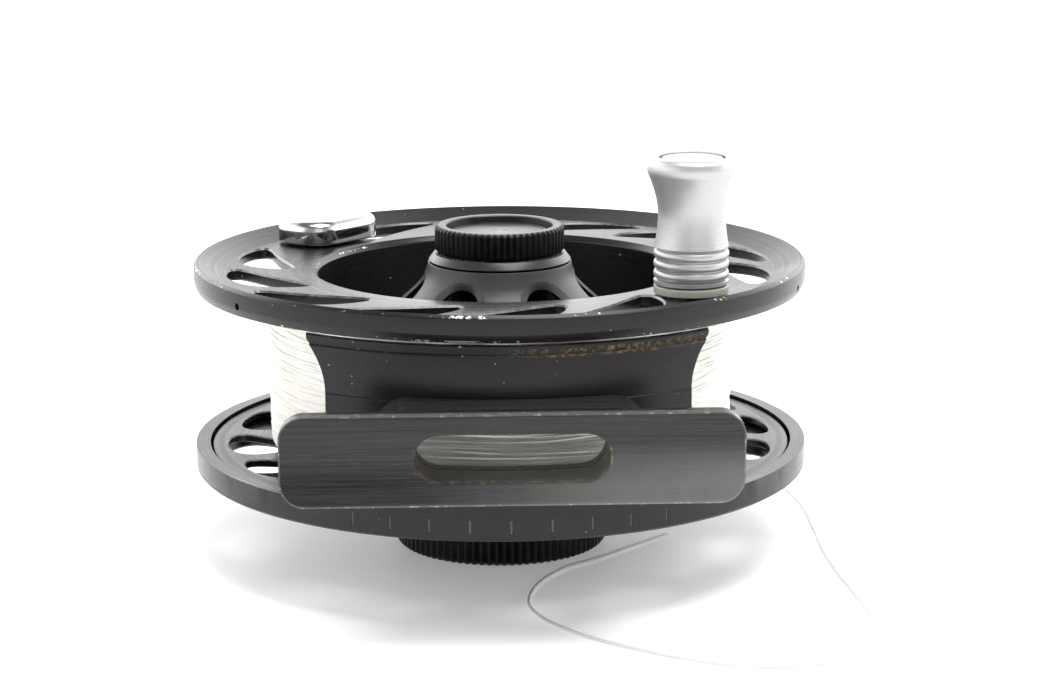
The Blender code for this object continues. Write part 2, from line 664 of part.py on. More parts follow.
def make_drive_hub():
    """The sleeve with a hexagon that drives the spool, its clutch, bearings and click ring."""
    radius, low, high = SLEEVE
    hub = turned("drive_hub", pin(radius, low, high), STEEL, 24, closed=False)
    corner, head_low, head_top = HEXAGON
    head = prism_mesh("hexagon", [hexagon(corner)], head_low, head_top)
    combine(hub, add_cutter("hub_hexagon", head), "UNION")
    cut(hub, rod_cutter("hub_bore", SLEEVE_BORE, low - PAST, head_top + PAST, (0, 0), 32))
    turned("one_way_clutch", ring(*CLUTCH_RADII, STACK_LOW, CLUTCH_TOP), STEEL, 24)
    for word, level in zip(("lower", "upper"), BEARING_LOW):
        turned(f"hub_bearing_{word}", ring(*BEARING_RADII, level, level + BEARING_HEIGHT),
               STEEL, 20)
    root, tip = CLICK_RADII
    step = 360.0 / CLICK_TEETH
    outline = []
    for k in range(CLICK_TEETH):
        outline.append(polar(tip, (k + 0.5) * step))
        outline.append(polar(root, (k + 1) * step))
    low, high = CLICK_LEVELS
    gear = add_part("click_ring", prism_mesh("gear", [outline], low, high), STEEL, smooth=False)
    cut(gear, rod_cutter("click_ring_bore", CLICK_BORE, low - PAST, high + PAST, (0, 0), 32))


def box_mesh(name, low, high):
    """A box between two opposite corners."""
    outline = [(low[0], low[1]), (high[0], low[1]), (high[0], high[1]), (low[0], high[1])]
    return prism_mesh(name, [outline], low[2], high[2])


def make_clicker():
    """A spring-loaded pawl in a bracket on the housing lid, beside the click ring."""
    tip = [(9.7, 0.0), (10.5, -1.0), (12.0, -1.0), (12.0, 1.0), (10.5, 1.0)]
    add_part("click_pawl", prism_mesh("pawl", [tip], *PAWL_LEVELS), STEEL, smooth=False)
    bracket = add_part("click_bracket",
                       box_mesh("bracket", (11.2, -2.1, LID_TOP + GAP),
                                (13.9, 2.1, BRACKET_TOP)),
                       BRONZE, smooth=False)
    channel = box_mesh("channel", (10.0, -1.3, 29.0), (13.4, 1.3, 31.2))
    cut(bracket, add_cutter("bracket_channel", channel))
    leaf = [(12.4, -1.0), (12.65, -1.0), (13.1, 0.0), (12.65, 1.0), (12.4, 1.0), (12.85, 0.0)]
    add_part("click_spring", prism_mesh("leaf", [leaf], *PAWL_LEVELS), SPRING, smooth=False)


# ---------------------------------------------------------------- spool

def make_spool():
    """Rim, ported web, dish, hub cone with its windows, arbor and ported rear flange in one."""
    step_in, step_out = RIM_INNER
    profile = [(HUB_BORE, CONE_TOP)]
    profile += [(cone_radius(z), z) for z in evenly(CONE_TOP, CONE_BASE, 8)]
    profile += [(DISH_RADIUS - DISH_CORNER, DISH_FLOOR), (DISH_RADIUS, DISH_FLOOR + DISH_CORNER)]
    profile += [(DISH_RADIUS, WEB_TOP - DISH_LIP), (DISH_RADIUS + DISH_LIP, WEB_TOP)]
    profile += [(WEB_OUTER, WEB_TOP), (RIM_CREST, RIM_HIGH - 0.15)]
    profile += [(RIM_RADIUS - RIM_CHAMFER, RIM_HIGH), (RIM_RADIUS, RIM_HIGH - RIM_CHAMFER)]
    profile += [(RIM_RADIUS, RIM_LOW + 0.3), (RIM_RADIUS - 0.3, RIM_LOW)]
    profile += [(step_out, RIM_LOW), (step_in, WEB_LOW), (ARBOR_RADIUS, WEB_LOW)]
    profile += [(ARBOR_RADIUS, FLANGE_TOP), (FLANGE_RADIUS, FLANGE_TOP)]
    profile += [(FLANGE_RADIUS, FLANGE_LOW), (DISH_RADIUS, FLANGE_LOW), (DISH_RADIUS, FLOOR_UNDER)]
    profile += [(cone_inner(z), z) for z in evenly(*CONE_INSIDE, 6)]
    profile += [(HUB_NECK_RADIUS, CONE_INSIDE[1]), (HUB_NECK_RADIUS, HUB_NECK_LOW)]
    profile += [(HUB_CORE_RADIUS, HUB_SHOULDER), (HUB_CORE_RADIUS, HUB_CORE_LOW)]
    profile += [(HUB_BORE, HUB_CORE_LOW)]
    spool = turned("spool", profile, BLACK, steps=48)
    cut(spool, ports_cutter("front_ports", FRONT_PORTS, FRONT_PORT_REACH, WEB_LOW, WEB_TOP,
                            SOLID_PADS))
    cut(spool, ports_cutter("rear_ports", REAR_PORTS, REAR_PORT_REACH, FLANGE_LOW, FLANGE_TOP))
    socket = prism_mesh("socket", [hexagon(SOCKET_RADIUS)], HUB_CORE_LOW - PAST, SOCKET_TOP)
    cut(spool, add_cutter("hub_socket", socket))
    for k in range(WINDOW_COUNT):
        window = rod_mesh("window", WINDOW_RADIUS, HUB_CORE_RADIUS + 0.4, WINDOW_REACH, 20)
        window.transform(Matrix.Rotation(radians(90), 4, "Y"))
        drill = add_cutter(f"cone_window_{k}", window)
        drill.rotation_euler = (0.0, 0.0, 2 * pi * k / WINDOW_COUNT)
        drill.location = (0.0, 0.0, WINDOW_HEIGHT * MM)
        cut(spool, drill)
    low, high = WEB_LOW - PAST, WEB_TOP + PAST
    cut(spool, rod_cutter("handle_hole", HANDLE_HOLE, low, high,
                          polar(HANDLE_CIRCLE, HANDLE_ANGLE)))
    cut(spool, rod_cutter("weight_hole", WEIGHT_HOLE, low, high,
                          polar(WEIGHT_CIRCLE, WEIGHT_ANGLE)))


def make_spool_fittings():
    """Collar, bushing, the wound line, and the counterweight with its screw."""
    recess, floor = COLLAR_RECESS
    top_radius, radius = COLLAR_RADII
    under, edge, top = COLLAR_LEVELS
    collar = [(COLLAR_INNER, floor), (recess, floor), (recess, top), (top_radius, top),
              (radius, edge), (radius, under), (COLLAR_INNER, under)]
    turned("hub_collar", collar, BLACK, 32)
    turned("spool_bushing", ring(2.8, HUB_BORE - GAP, BUSHING_LOW, BUSHING_TOP), BRONZE, 20)
    low, high = FLANGE_TOP + GAP, WEB_LOW - GAP
    inner = ARBOR_RADIUS + GAP
    inwards, along = PACK_CORNER
    pack = [(inner, high), (LINE_RADIUS - inwards, high), (LINE_RADIUS, high - along),
            (LINE_RADIUS, low + along), (LINE_RADIUS - inwards, low), (inner, low)]
    turned("line_pack", pack, BACKING, 40)
    at = polar(WEIGHT_CIRCLE, WEIGHT_ANGLE)
    length, width, height = WEIGHT_SIZE
    low = WEB_TOP + GAP
    block = prism_mesh("weight", [rounded_box(length, width, WEIGHT_CORNER)], low, low + height)
    weight = add_part("counterweight", block, POLISHED, smooth=False)
    weight.location = (at[0] * MM, at[1] * MM, 0.0)
    weight.rotation_euler = (0.0, 0.0, radians(WEIGHT_ANGLE))
    round_over = weight.modifiers.new("round_over", "BEVEL")
    round_over.width = WEIGHT_ROUND * MM
    round_over.segments = 2
    tap, depth = WEIGHT_TAP
    cut(weight, rod_cutter("weight_tap", tap, low - PAST, low + depth, at, 16))
    radius, top = WEIGHT_SCREW
    turned("counterweight_screw", pin(radius, WEB_LOW + 0.1, top), STEEL, 16, at, closed=False)


# ---------------------------------------------------------------- handle

def waist_profile():
    """The grip from its shoulder down to its first bead, thinnest at the waist."""
    low, high = 51.2, HANDLE_TOP - 2.3
    points = []
    for z in evenly(high, low, 6):
        if z > HANDLE_WAIST:
            spread, gain = (z - HANDLE_WAIST) / (high - HANDLE_WAIST), HANDLE_FLARE[0]
        else:
            spread, gain = (HANDLE_WAIST - z) / (HANDLE_WAIST - low), HANDLE_FLARE[1]
        points.append((HANDLE_WAIST_RADIUS + gain * spread ** 1.8, z))
    return points


def make_handle():
    """The crank handle on its post, with its bushing, cap and washer."""
    at = polar(HANDLE_CIRCLE, HANDLE_ANGLE)
    head, head_low, head_top = POST_HEAD
    collar, collar_low, collar_top = POST_COLLAR
    post = [(0.0, head_top), (head, head_top), (head, head_low), (POST_RADIUS, head_low),
            (POST_RADIUS, collar_top), (collar, collar_top), (collar, collar_low),
            (POST_RADIUS, collar_low), (POST_RADIUS, WEB_LOW), (0.0, WEB_LOW)]
    turned("handle_post", post, STEEL, 16, at, closed=False)
    turned("handle_washer", ring(*HANDLE_WASHER), POLYMER, 24, at)
    seat, seat_low = CAP_SEAT
    mouth = [(seat, HANDLE_TOP - 0.15), (seat + 0.3, HANDLE_TOP)]
    shoulder = [(5.9, HANDLE_TOP - 0.15), (6.4, HANDLE_TOP - 0.7), (6.65, HANDLE_TOP - 1.7)]
    beads = []
    for crest in HANDLE_BEADS:
        beads += [(BEAD_ROOT, crest + 0.85), (BEAD_RADIUS, crest + 0.45),
                  (BEAD_RADIUS, crest - 0.35)]
    base = [(BEAD_ROOT, HANDLE_LOW + 0.55), (5.5, HANDLE_LOW + 0.35), (5.5, HANDLE_LOW),
            (HANDLE_BORE, HANDLE_LOW), (HANDLE_BORE, seat_low), (seat, seat_low)]
    turned("handle_knob", mouth + shoulder + waist_profile() + beads + base, SATIN, 20, at)
    turned("handle_bushing", ring(*HANDLE_BUSHING), BRONZE, 16, at)
    radius, low, high = HANDLE_CAP
    cap = [(0.0, high), (radius - 0.2, high), (radius, high - 0.2), (radius, low), (0.0, low)]
    turned("handle_cap", cap, SATIN, 24, at, closed=False)


# ---------------------------------------------------------------- release cap

def make_release_cap():
    """The screw-on cap over the spindle, its inlay, and the washer under it."""
    turned("cap_washer", ring(*CAP_WASHER), ACETAL, 28)
    bore = SPINDLE_RADIUS + GAP
    dish, lip_inner, lip_outer = CAP_LIP
    profile = [
        (0.0, CAP_DISH), (dish, CAP_DISH), (lip_inner - 0.2, CAP_TOP - 0.2),
        (lip_inner, CAP_TOP), (lip_outer, CAP_TOP), (CAP_RADIUS, CAP_TOP - 0.45),
        (CAP_RADIUS, CAP_LOW + 0.3), (CAP_RADIUS - 0.3, CAP_LOW), (bore, CAP_LOW),
        (bore, CAP_ROOF), (0.0, CAP_ROOF),
    ]
    turned("release_cap", profile, BLACK_KNOB, 32, closed=False)
    upper, lower, low, high = CAP_INLAY
    turned("cap_inlay", [(0.0, high), (upper, high), (lower, low), (0.0, low)], BLACK, 28,
           closed=False)


# ---------------------------------------------------------------- loose line

LINE_LIES = 0.30              # height of the line's centre where it lies on the table
# From the end under the reel, out in front, round to the right, behind the reel and up over the
# frame's rim to the spool
LINE_ROUTE = [
    (26.7, -0.8, LINE_LIES), (20.4, -7.5, LINE_LIES), (14.6, -13.6, LINE_LIES),
    (9.2, -18.4, LINE_LIES), (5.0, -25.5, LINE_LIES), (2.9, -34.4, LINE_LIES),
    (4.2, -41.4, LINE_LIES), (7.5, -47.2, LINE_LIES), (13.0, -53.2, LINE_LIES),
    (22.6, -60.3, LINE_LIES), (31.5, -64.2, LINE_LIES), (39.0, -64.4, LINE_LIES),
    (45.3, -61.5, LINE_LIES), (49.2, -56.8, LINE_LIES), (51.2, -49.6, LINE_LIES),
    (51.8, -42.4, LINE_LIES), (51.4, -34.2, LINE_LIES), (50.5, -24.5, LINE_LIES),
    (50.0, -12.6, LINE_LIES), (50.3, 1.2, LINE_LIES), (50.3, 15.0, LINE_LIES),
    (48.4, 27.5, LINE_LIES), (44.6, 38.0, LINE_LIES), (39.0, 46.4, 1.4), (32.4, 51.4, 5.2),
    (27.0, 52.0, 10.6), (23.4, 49.2, 15.6), (21.2, 45.0, 18.3), (19.2, 40.8, 19.7),
    (15.6, 36.9, 21.2), (10.6, 36.0, 22.8), (5.2, 36.7, 24.4), (-0.2, 37.0, 26.0),
]


def smooth_route(points, count):
    """Points at even steps along one smooth curve through a route's own points."""
    ends = [points[0], *points, points[-1]]
    dense = []
    for k in range(1, len(ends) - 2):
        a, b, c, d = (Vector(p) for p in ends[k - 1:k + 3])
        for i in range(20):
            t = i / 20
            dense.append(0.5 * (2 * b + (c - a) * t + (2 * a - 5 * b + 4 * c - d) * t * t
                                + (3 * b - a - 3 * c + d) * t ** 3))
    dense.append(Vector(points[-1]))
    walked = [0.0]
    for a, b in zip(dense, dense[1:]):
        walked.append(walked[-1] + (b - a).length)
    even, k = [], 0
    for i in range(count):
        target = walked[-1] * i / (count - 1)
        while k < len(dense) - 2 and walked[k + 1] < target:
            k += 1
        share = (target - walked[k]) / max(walked[k + 1] - walked[k], 1e-9)
        even.append(dense[k].lerp(dense[k + 1], min(max(share, 0.0), 1.0)))
    return even


def make_loose_line():
    curve = bpy.data.curves.new("loose_line", "CURVE")
    curve.dimensions = "3D"
    curve.bevel_depth = LINE_DIAMETER / 2 * MM
    curve.bevel_resolution = 2
    curve.use_fill_caps = True
    points = smooth_route(LINE_ROUTE, LINE_POINTS)
    spline = curve.splines.new("POLY")
    spline.points.add(len(points) - 1)
    for place, point in zip(spline.points, points):
        place.co = (*(point * MM), 1.0)
    curve.materials.append(finish_of(CLEAR_LINE))
    PARTS.objects.link(bpy.data.objects.new("loose_line", curve))


make_frame()
make_foot()
make_knob()
make_thrust_train()
make_spindle()
make_housing()
make_disc_stack()
make_drive_hub()
make_clicker()
make_spool()
make_spool_fittings()
make_handle()
make_release_cap()
make_loose_line()
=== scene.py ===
"""Looks of a large-arbor fly reel that lies on its drag knob, built round its CAD frame.

The reel axis is +Z and the foot points to -Y. Shapes are worked out in millimetres and scaled to
metres by MM as each mesh is made.
"""

import json
import random
from math import acos, atan2, cos, degrees, hypot, pi, radians, sin, sqrt

import bmesh
import bpy
from mathutils import Euler, Matrix, Vector


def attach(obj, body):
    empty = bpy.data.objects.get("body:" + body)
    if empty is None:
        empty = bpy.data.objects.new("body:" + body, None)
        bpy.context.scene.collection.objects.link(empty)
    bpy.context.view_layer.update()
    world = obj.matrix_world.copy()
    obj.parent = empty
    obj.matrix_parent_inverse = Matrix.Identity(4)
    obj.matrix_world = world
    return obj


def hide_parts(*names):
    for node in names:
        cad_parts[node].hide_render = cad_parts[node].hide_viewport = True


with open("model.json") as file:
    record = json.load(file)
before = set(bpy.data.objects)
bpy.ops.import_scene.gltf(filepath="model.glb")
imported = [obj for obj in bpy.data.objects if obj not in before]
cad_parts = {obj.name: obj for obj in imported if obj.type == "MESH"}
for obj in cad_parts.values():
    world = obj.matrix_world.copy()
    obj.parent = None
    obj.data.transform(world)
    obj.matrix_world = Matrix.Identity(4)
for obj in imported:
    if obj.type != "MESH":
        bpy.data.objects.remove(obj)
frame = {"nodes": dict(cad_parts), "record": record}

MM = 0.001

# Measures in millimetres, and angles in degrees, that more than one piece shares
HANDLE_AT = (36.7, -41.7)             # radius and bearing of the handle on the spool's web
WEIGHT_AT = (37.0, 138.3)             # the same for the counterweight
FOOT_HEIGHT = 27.35                   # middle of the foot above the table
FOOT_SIZE = (64.0, 12.9)
FOOT_CORNER = 3.6
FOOT_FACE = 55.8                      # how far the foot's flat face stands from the reel's axis
FOOT_SLOT = (27.0, 7.0)
FRAME_RADIUS = 47.8
TICK_COUNT = 9
CONE_TOP = 44.8
CONE_FOOT = 29.8                      # where the cone's outside meets the dish
CONE_RISE = 0.65
CONE_TURN = 0.5
CONE_BEND = (2.5, 1.5)                # how far below the top the cone bends, and how gently
CONE_INSIDE = (28.7, 43.0)
CONE_WALL = 1.6
WINDOW_HEIGHT = 38.2
WINDOW_RADIUS = 3.8
SEAT = 44.3                           # underside of the pieces that sit on the spool's web
LINE_SPAN = (17.1, 41.9)              # lowest and highest part of the wound line

scene = bpy.context.scene
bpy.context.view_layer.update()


# ---------------------------------------------------------------- camera

lens = bpy.data.cameras.new("camera")
lens.sensor_width = 36.0
lens.lens = 87.79
lens.clip_start = 0.01
lens.clip_end = 20.0
camera = bpy.data.objects.new("camera", lens)
camera.matrix_world = (Matrix.Translation((-0.01175, -0.39292, 0.11745))
                       @ Euler((pi / 2 - 0.2179, 0.0, -0.0398)).to_matrix().to_4x4()
                       @ Matrix.Rotation(-0.0039, 4, "Z"))
scene.collection.objects.link(camera)
scene.camera = camera

# ---------------------------------------------------------------- loose line

LINE_DIAMETER = 0.5
LIES = 0.30                   # height of the line's centre where it lies on the table
# From the spool over the frame's rim, down behind the reel, round to the right and out in front,
# to its end under the reel
LINE_ROUTE = [
    (-0.2, 37.0, 26.0), (5.2, 36.7, 24.4), (10.6, 36.0, 22.8), (15.6, 36.9, 21.2),
    (19.2, 40.8, 19.7), (21.2, 45.0, 18.3), (23.4, 49.2, 15.6), (27.0, 52.0, 10.6),
    (32.4, 51.4, 5.2), (39.0, 46.4, 1.4), (44.6, 38.0, LIES), (48.4, 27.5, LIES),
    (50.3, 15.0, LIES), (50.3, 1.2, LIES), (50.0, -12.6, LIES), (50.5, -24.5, LIES),
    (51.4, -34.2, LIES), (51.8, -42.4, LIES), (51.2, -49.6, LIES), (49.2, -56.8, LIES),
    (45.3, -61.5, LIES), (39.0, -64.4, LIES), (31.5, -64.2, LIES), (22.6, -60.3, LIES),
    (13.0, -53.2, LIES), (7.5, -47.2, LIES), (4.2, -41.4, LIES), (2.9, -34.4, LIES),
    (5.0, -25.5, LIES), (9.2, -18.4, LIES), (14.6, -13.6, LIES), (20.4, -7.5, LIES),
    (26.7, -0.8, LIES),
]


def smooth_route(points, count):
    """Points at even steps along one smooth curve through a route's own points."""
    ends = [points[0], *points, points[-1]]
    dense = []
    for k in range(1, len(ends) - 2):
        a, b, c, d = (Vector(p) for p in ends[k - 1:k + 3])
        for i in range(20):
            t = i / 20
            dense.append(0.5 * (2 * b + (c - a) * t + (2 * a - 5 * b + 4 * c - d) * t * t
                                + (3 * b - a - 3 * c + d) * t ** 3))
    dense.append(Vector(points[-1]))
    walked = [0.0]
    for a, b in zip(dense, dense[1:]):
        walked.append(walked[-1] + (b - a).length)
    even, k = [], 0
    for i in range(count):
        target = walked[-1] * i / (count - 1)
        while k < len(dense) - 2 and walked[k + 1] < target:
            k += 1
        share = (target - walked[k]) / max(walked[k + 1] - walked[k], 1e-9)
        even.append(dense[k].lerp(dense[k + 1], min(max(share, 0.0), 1.0)))
    return even


def mesh_of(work, name):
    """The finished mesh of a work in progress, which is freed."""
    mesh = bpy.data.meshes.new(name)
    work.to_mesh(mesh)
    work.free()
    return mesh


def skin(work, rings):
    """Faces between rings of equal length, closed at both ends and pointing outwards."""
    for low, high in zip(rings, rings[1:]):
        for i in range(len(low)):
            n = (i + 1) % len(low)
            work.faces.new((low[i], low[n], high[n], high[i]))
    work.faces.new(rings[0][::-1])
    work.faces.new(rings[-1])
    bmesh.ops.recalc_face_normals(work, faces=work.faces)


def tube(name, points, radius, sides=10):
    """A closed round tube along points in millimetres, its section kept from twisting."""
    work = bmesh.new()
    rings = []
    side = Vector((0.0, 0.0, 1.0))
    for i, point in enumerate(points):
        ahead = (points[min(i + 1, len(points) - 1)] - points[max(i - 1, 0)]).normalized()
        side = (side - ahead * side.dot(ahead)).normalized()
        other = ahead.cross(side)
        rings.append([work.verts.new(point + radius * (side * cos(a) + other * sin(a)))
                      for a in [2 * pi * k / sides for k in range(sides)]])
    skin(work, rings)
    mesh = mesh_of(work, name)
    mesh.transform(Matrix.Diagonal((MM, MM, MM, 1.0)))
    mesh.shade_smooth()
    made = bpy.data.objects.new(name, mesh)
    scene.collection.objects.link(made)
    return made


line_points = smooth_route(LINE_ROUTE, 240)
loose_line = tube("loose_line_strand", line_points, LINE_DIAMETER / 2)
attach(loose_line, "frame")
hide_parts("loose_line")


# ---------------------------------------------------------------- material tools

class Wiring:
    """Nodes by arithmetic. Values may be numbers or node sockets."""

    def __init__(self, tree):
        self.tree = tree

    def feed(self, socket, value):
        if isinstance(value, bpy.types.NodeSocket):
            self.tree.links.new(value, socket)
        else:
            socket.default_value = value

    def math(self, operation, a, b=0.0):
        node = self.tree.nodes.new("ShaderNodeMath")
        node.operation = operation
        for socket, value in zip(node.inputs, (a, b)):
            self.feed(socket, value)
        return node.outputs[0]

    def add(self, a, b):
        return self.math("ADD", a, b)

    def times(self, a, b):
        return self.math("MULTIPLY", a, b)

    def ramp(self, value, low, high):
        """0 below low, 1 above high, smooth between. High may be under low."""
        node = self.tree.nodes.new("ShaderNodeMapRange")
        node.interpolation_type = "SMOOTHSTEP"
        self.feed(node.inputs["Value"], value)
        if low > high:
            low, high = high, low
            node.inputs["To Min"].default_value = 1.0
            node.inputs["To Max"].default_value = 0.0
        node.inputs["From Min"].default_value = low
        node.inputs["From Max"].default_value = high
        return node.outputs[0]

    def band(self, value, low, high, soft):
        """1 between low and high, with soft ends."""
        return self.times(self.ramp(value, low - soft, low), self.ramp(value, high + soft, high))

    def blend(self, share, a, b):
        """Number a where share is 0 and b where it is 1."""
        return self.add(self.times(share, self.math("SUBTRACT", b, a)), a)


class Recipe(Wiring):
    """A Principled material under construction, over the object position."""

    def __init__(self, name, axis=(0.0, 0.0)):
        self.material = bpy.data.materials.new(name)
        self.material.use_nodes = True
        super().__init__(self.material.node_tree)
        self.shader = self.tree.nodes["Principled BSDF"]
        self.place = self.tree.nodes.new("ShaderNodeTexCoord").outputs["Object"]
        self.axis = axis
        self.split = None

    def part(self, axis):
        """X, Y or Z of the object position, in millimetres, from the piece's own axis."""
        if self.split is None:
            shift = self.tree.nodes.new("ShaderNodeVectorMath")
            shift.operation = "SUBTRACT"
            self.feed(shift.inputs[0], self.place)
            shift.inputs[1].default_value = (self.axis[0] * MM, self.axis[1] * MM, 0.0)
            self.split = self.tree.nodes.new("ShaderNodeSeparateXYZ")
            self.feed(self.split.inputs[0], shift.outputs[0])
        return self.times(self.split.outputs[axis], 1 / MM)

    def radius(self):
        x, y = self.part("X"), self.part("Y")
        return self.math("SQRT", self.add(self.times(x, x), self.times(y, y)))

    def angle(self):
        return self.math("ARCTAN2", self.part("Y"), self.part("X"))

    def vector(self, x, y, z):
        node = self.tree.nodes.new("ShaderNodeCombineXYZ")
        for socket, value in zip(node.inputs, (x, y, z)):
            self.feed(socket, value)
        return node.outputs[0]

    def noise(self, scale, detail=3.0, roughness=0.55, vector=None):
        """3-D noise. The scale is in cycles per millimetre on the object position."""
        node = self.tree.nodes.new("ShaderNodeTexNoise")
        self.feed(node.inputs["Vector"], vector if vector is not None else self.place)
        node.inputs["Scale"].default_value = scale if vector is not None else scale / MM
        node.inputs["Detail"].default_value = detail
        node.inputs["Roughness"].default_value = roughness
        return node.outputs["Fac"]

    def lines(self, value, detail=2.0):
        """1-D noise along a value in millimetres that is scaled already."""
        node = self.tree.nodes.new("ShaderNodeTexNoise")
        node.noise_dimensions = "1D"
        self.feed(node.inputs["W"], value)
        node.inputs["Scale"].default_value = 1.0
        node.inputs["Detail"].default_value = detail
        node.inputs["Roughness"].default_value = 0.6
        return node.outputs["Fac"]

    def specks(self, spacing, size, share):
        """Mask of small scattered dots, that share of a grid's cells."""
        node = self.tree.nodes.new("ShaderNodeTexVoronoi")
        self.feed(node.inputs["Vector"], self.place)
        node.inputs["Scale"].default_value = 1 / (spacing * MM)
        dot = self.math("LESS_THAN", node.outputs["Distance"], size / spacing)
        chosen = self.tree.nodes.new("ShaderNodeSeparateColor")
        self.feed(chosen.inputs[0], node.outputs["Color"])
        return self.times(dot, self.math("LESS_THAN", chosen.outputs[0], share))

    def mix(self, share, a, b):
        """Colour a where share is 0 and b where it is 1."""
        node = self.tree.nodes.new("ShaderNodeMix")
        node.data_type = "RGBA"
        self.feed(node.inputs["Factor"], share)
        colours = [socket for socket in node.inputs if socket.type == "RGBA"]
        for socket, value in zip(colours, (a, b)):
            self.feed(socket, (*value, 1.0) if isinstance(value, tuple) else value)
        return next(socket for socket in node.outputs if socket.type == "RGBA")

    def edge(self, radius, height, reach):
        """1 at a turned edge, falling to 0 at a reach from it, in millimetres."""
        r = self.math("SUBTRACT", self.radius(), radius)
        z = self.math("SUBTRACT", self.part("Z"), height)
        away = self.math("SQRT", self.add(self.times(r, r), self.times(z, z)))
        return self.ramp(away, reach, reach * 0.3)

    def most(self, *masks):
        result = masks[0]
        for mask in masks[1:]:
            result = self.math("MAXIMUM", result, mask)
        return result

    def bump(self, height, strength, distance):
        node = self.tree.nodes.new("ShaderNodeBump")
        node.inputs["Strength"].default_value = strength
        node.inputs["Distance"].default_value = distance * MM
        self.feed(node.inputs["Height"], height)
        self.feed(self.shader.inputs["Normal"], node.outputs[0])

    def turned(self, amount):
        """Stretches reflections across the turning lines round Z."""
        tangent = self.tree.nodes.new("ShaderNodeTangent")
        tangent.direction_type = "RADIAL"
        tangent.axis = "Z"
        self.feed(self.shader.inputs["Tangent"], tangent.outputs[0])
        self.shader.inputs["Anisotropic"].default_value = amount

    def finish(self, colour, roughness, metallic=0.0, **settings):
        shader = self.shader.inputs
        self.feed(shader["Base Color"], (*colour, 1.0) if isinstance(colour, tuple) else colour)
        self.feed(shader["Roughness"], roughness)
        self.feed(shader["Metallic"], metallic)
        for name, value in settings.items():
            shader[name.replace("_", " ")].default_value = value
        return self.material


DUST = (0.42, 0.38, 0.27)
BARE = (0.62, 0.61, 0.59)


def anodised(name, black=(0.0078, 0.0062, 0.0066), rough=0.27, wear=(), wear_share=0.55,
             knocks=None, dust=0.0, sunk=None, grime=None):
    """Black anodised turned aluminium: turning lines, smudges, dust, and bare metal at edges.

    wear lists edges as radius, height and reach; knocks is the arc where they are worn most. sunk
    is the radius, lower and upper height of engraved marks, and grime the height and half width of
    a dusty groove.
    """
    m = Recipe(name)
    r, z = m.radius(), m.part("Z")
    across = m.add(r, m.times(z, 1.31))
    fine = m.lines(m.times(across, 9.0), 3.0)
    broad = m.lines(m.times(across, 1.1), 2.0)
    smudge = m.noise(0.055, 4.0, 0.6)
    grain = m.noise(3.2, 3.0, 0.6)
    colour = m.mix(m.ramp(smudge, 0.35, 0.75), black, tuple(1.5 * c for c in black))
    colour = m.mix(m.times(m.ramp(fine, 0.50, 0.85), 0.4), colour,
                   tuple(3.4 * c for c in black))
    roughness = m.add(m.times(m.math("SUBTRACT", smudge, 0.5), 0.14),
                      m.add(m.times(m.math("SUBTRACT", broad, 0.5), 0.14), rough))
    metal = 0.0
    if wear:
        chips = m.noise(1.15, 4.0, 0.7)
        clusters = m.noise(0.09, 2.0, 0.5)
        near = m.most(*[m.edge(radius, height, reach) for radius, height, reach in wear])
        level = m.add(chips, m.times(m.math("SUBTRACT", clusters, 0.5), 0.7))
        if knocks:
            level = m.add(level, m.times(m.band(m.angle(), *knocks, 0.12), 0.055))
        worn = m.times(near, m.ramp(level, wear_share, wear_share + 0.05))
        colour = m.mix(worn, colour, BARE)
        roughness = m.blend(worn, roughness, 0.36)
        metal = worn
    if grime:
        height, half = grime
        groove = m.band(z, height - half, height + half, 0.15)
        patches = m.times(m.ramp(m.noise(1.6, 5.0, 0.7), 0.46, 0.62),
                          m.ramp(m.part("X"), -6.0, 14.0))
        dirt = m.times(m.times(groove, patches), m.ramp(r, 43.0, 45.0))
        colour = m.mix(m.times(dirt, 0.8), colour, (0.16, 0.115, 0.055))
        roughness = m.blend(dirt, roughness, 0.85)
    if dust:
        places = m.ramp(m.noise(0.16, 2.0, 0.5), 0.42, 0.62)
        dots = m.most(m.specks(1.25, 0.10, dust), m.specks(2.9, 0.15, dust * 0.8))
        dots = m.times(dots, places)
        colour = m.mix(m.times(dots, 0.85), colour, DUST)
        roughness = m.blend(dots, roughness, 0.8)
    if sunk:
        floor, low, high = sunk
        marks = m.times(m.band(r, floor - 0.15, floor + 0.12, 0.03), m.band(z, low, high, 0.1))
        colour = m.mix(m.times(marks, 0.8), colour, (0.17, 0.15, 0.11))
    height = m.add(m.times(fine, 0.5), m.times(grain, 0.25))
    m.bump(height, 0.40, 0.02)
    m.turned(0.45)
    return m.finish(colour, roughness, metal, IOR=1.36)


def painted_chamfer_highlight(name):
    """The thin chamfers, painted a patchy lighter grey as a highlight for the light they catch."""
    m = Recipe(name)
    mottle = m.noise(0.8, 4.0, 0.65)
    tone = m.mix(m.ramp(mottle, 0.35, 0.70), (0.035, 0.031, 0.029), (0.16, 0.145, 0.13))
    m.bump(mottle, 0.3, 0.02)
    return m.finish(tone, m.add(m.times(mottle, 0.2), 0.24), 0.0, IOR=1.6)


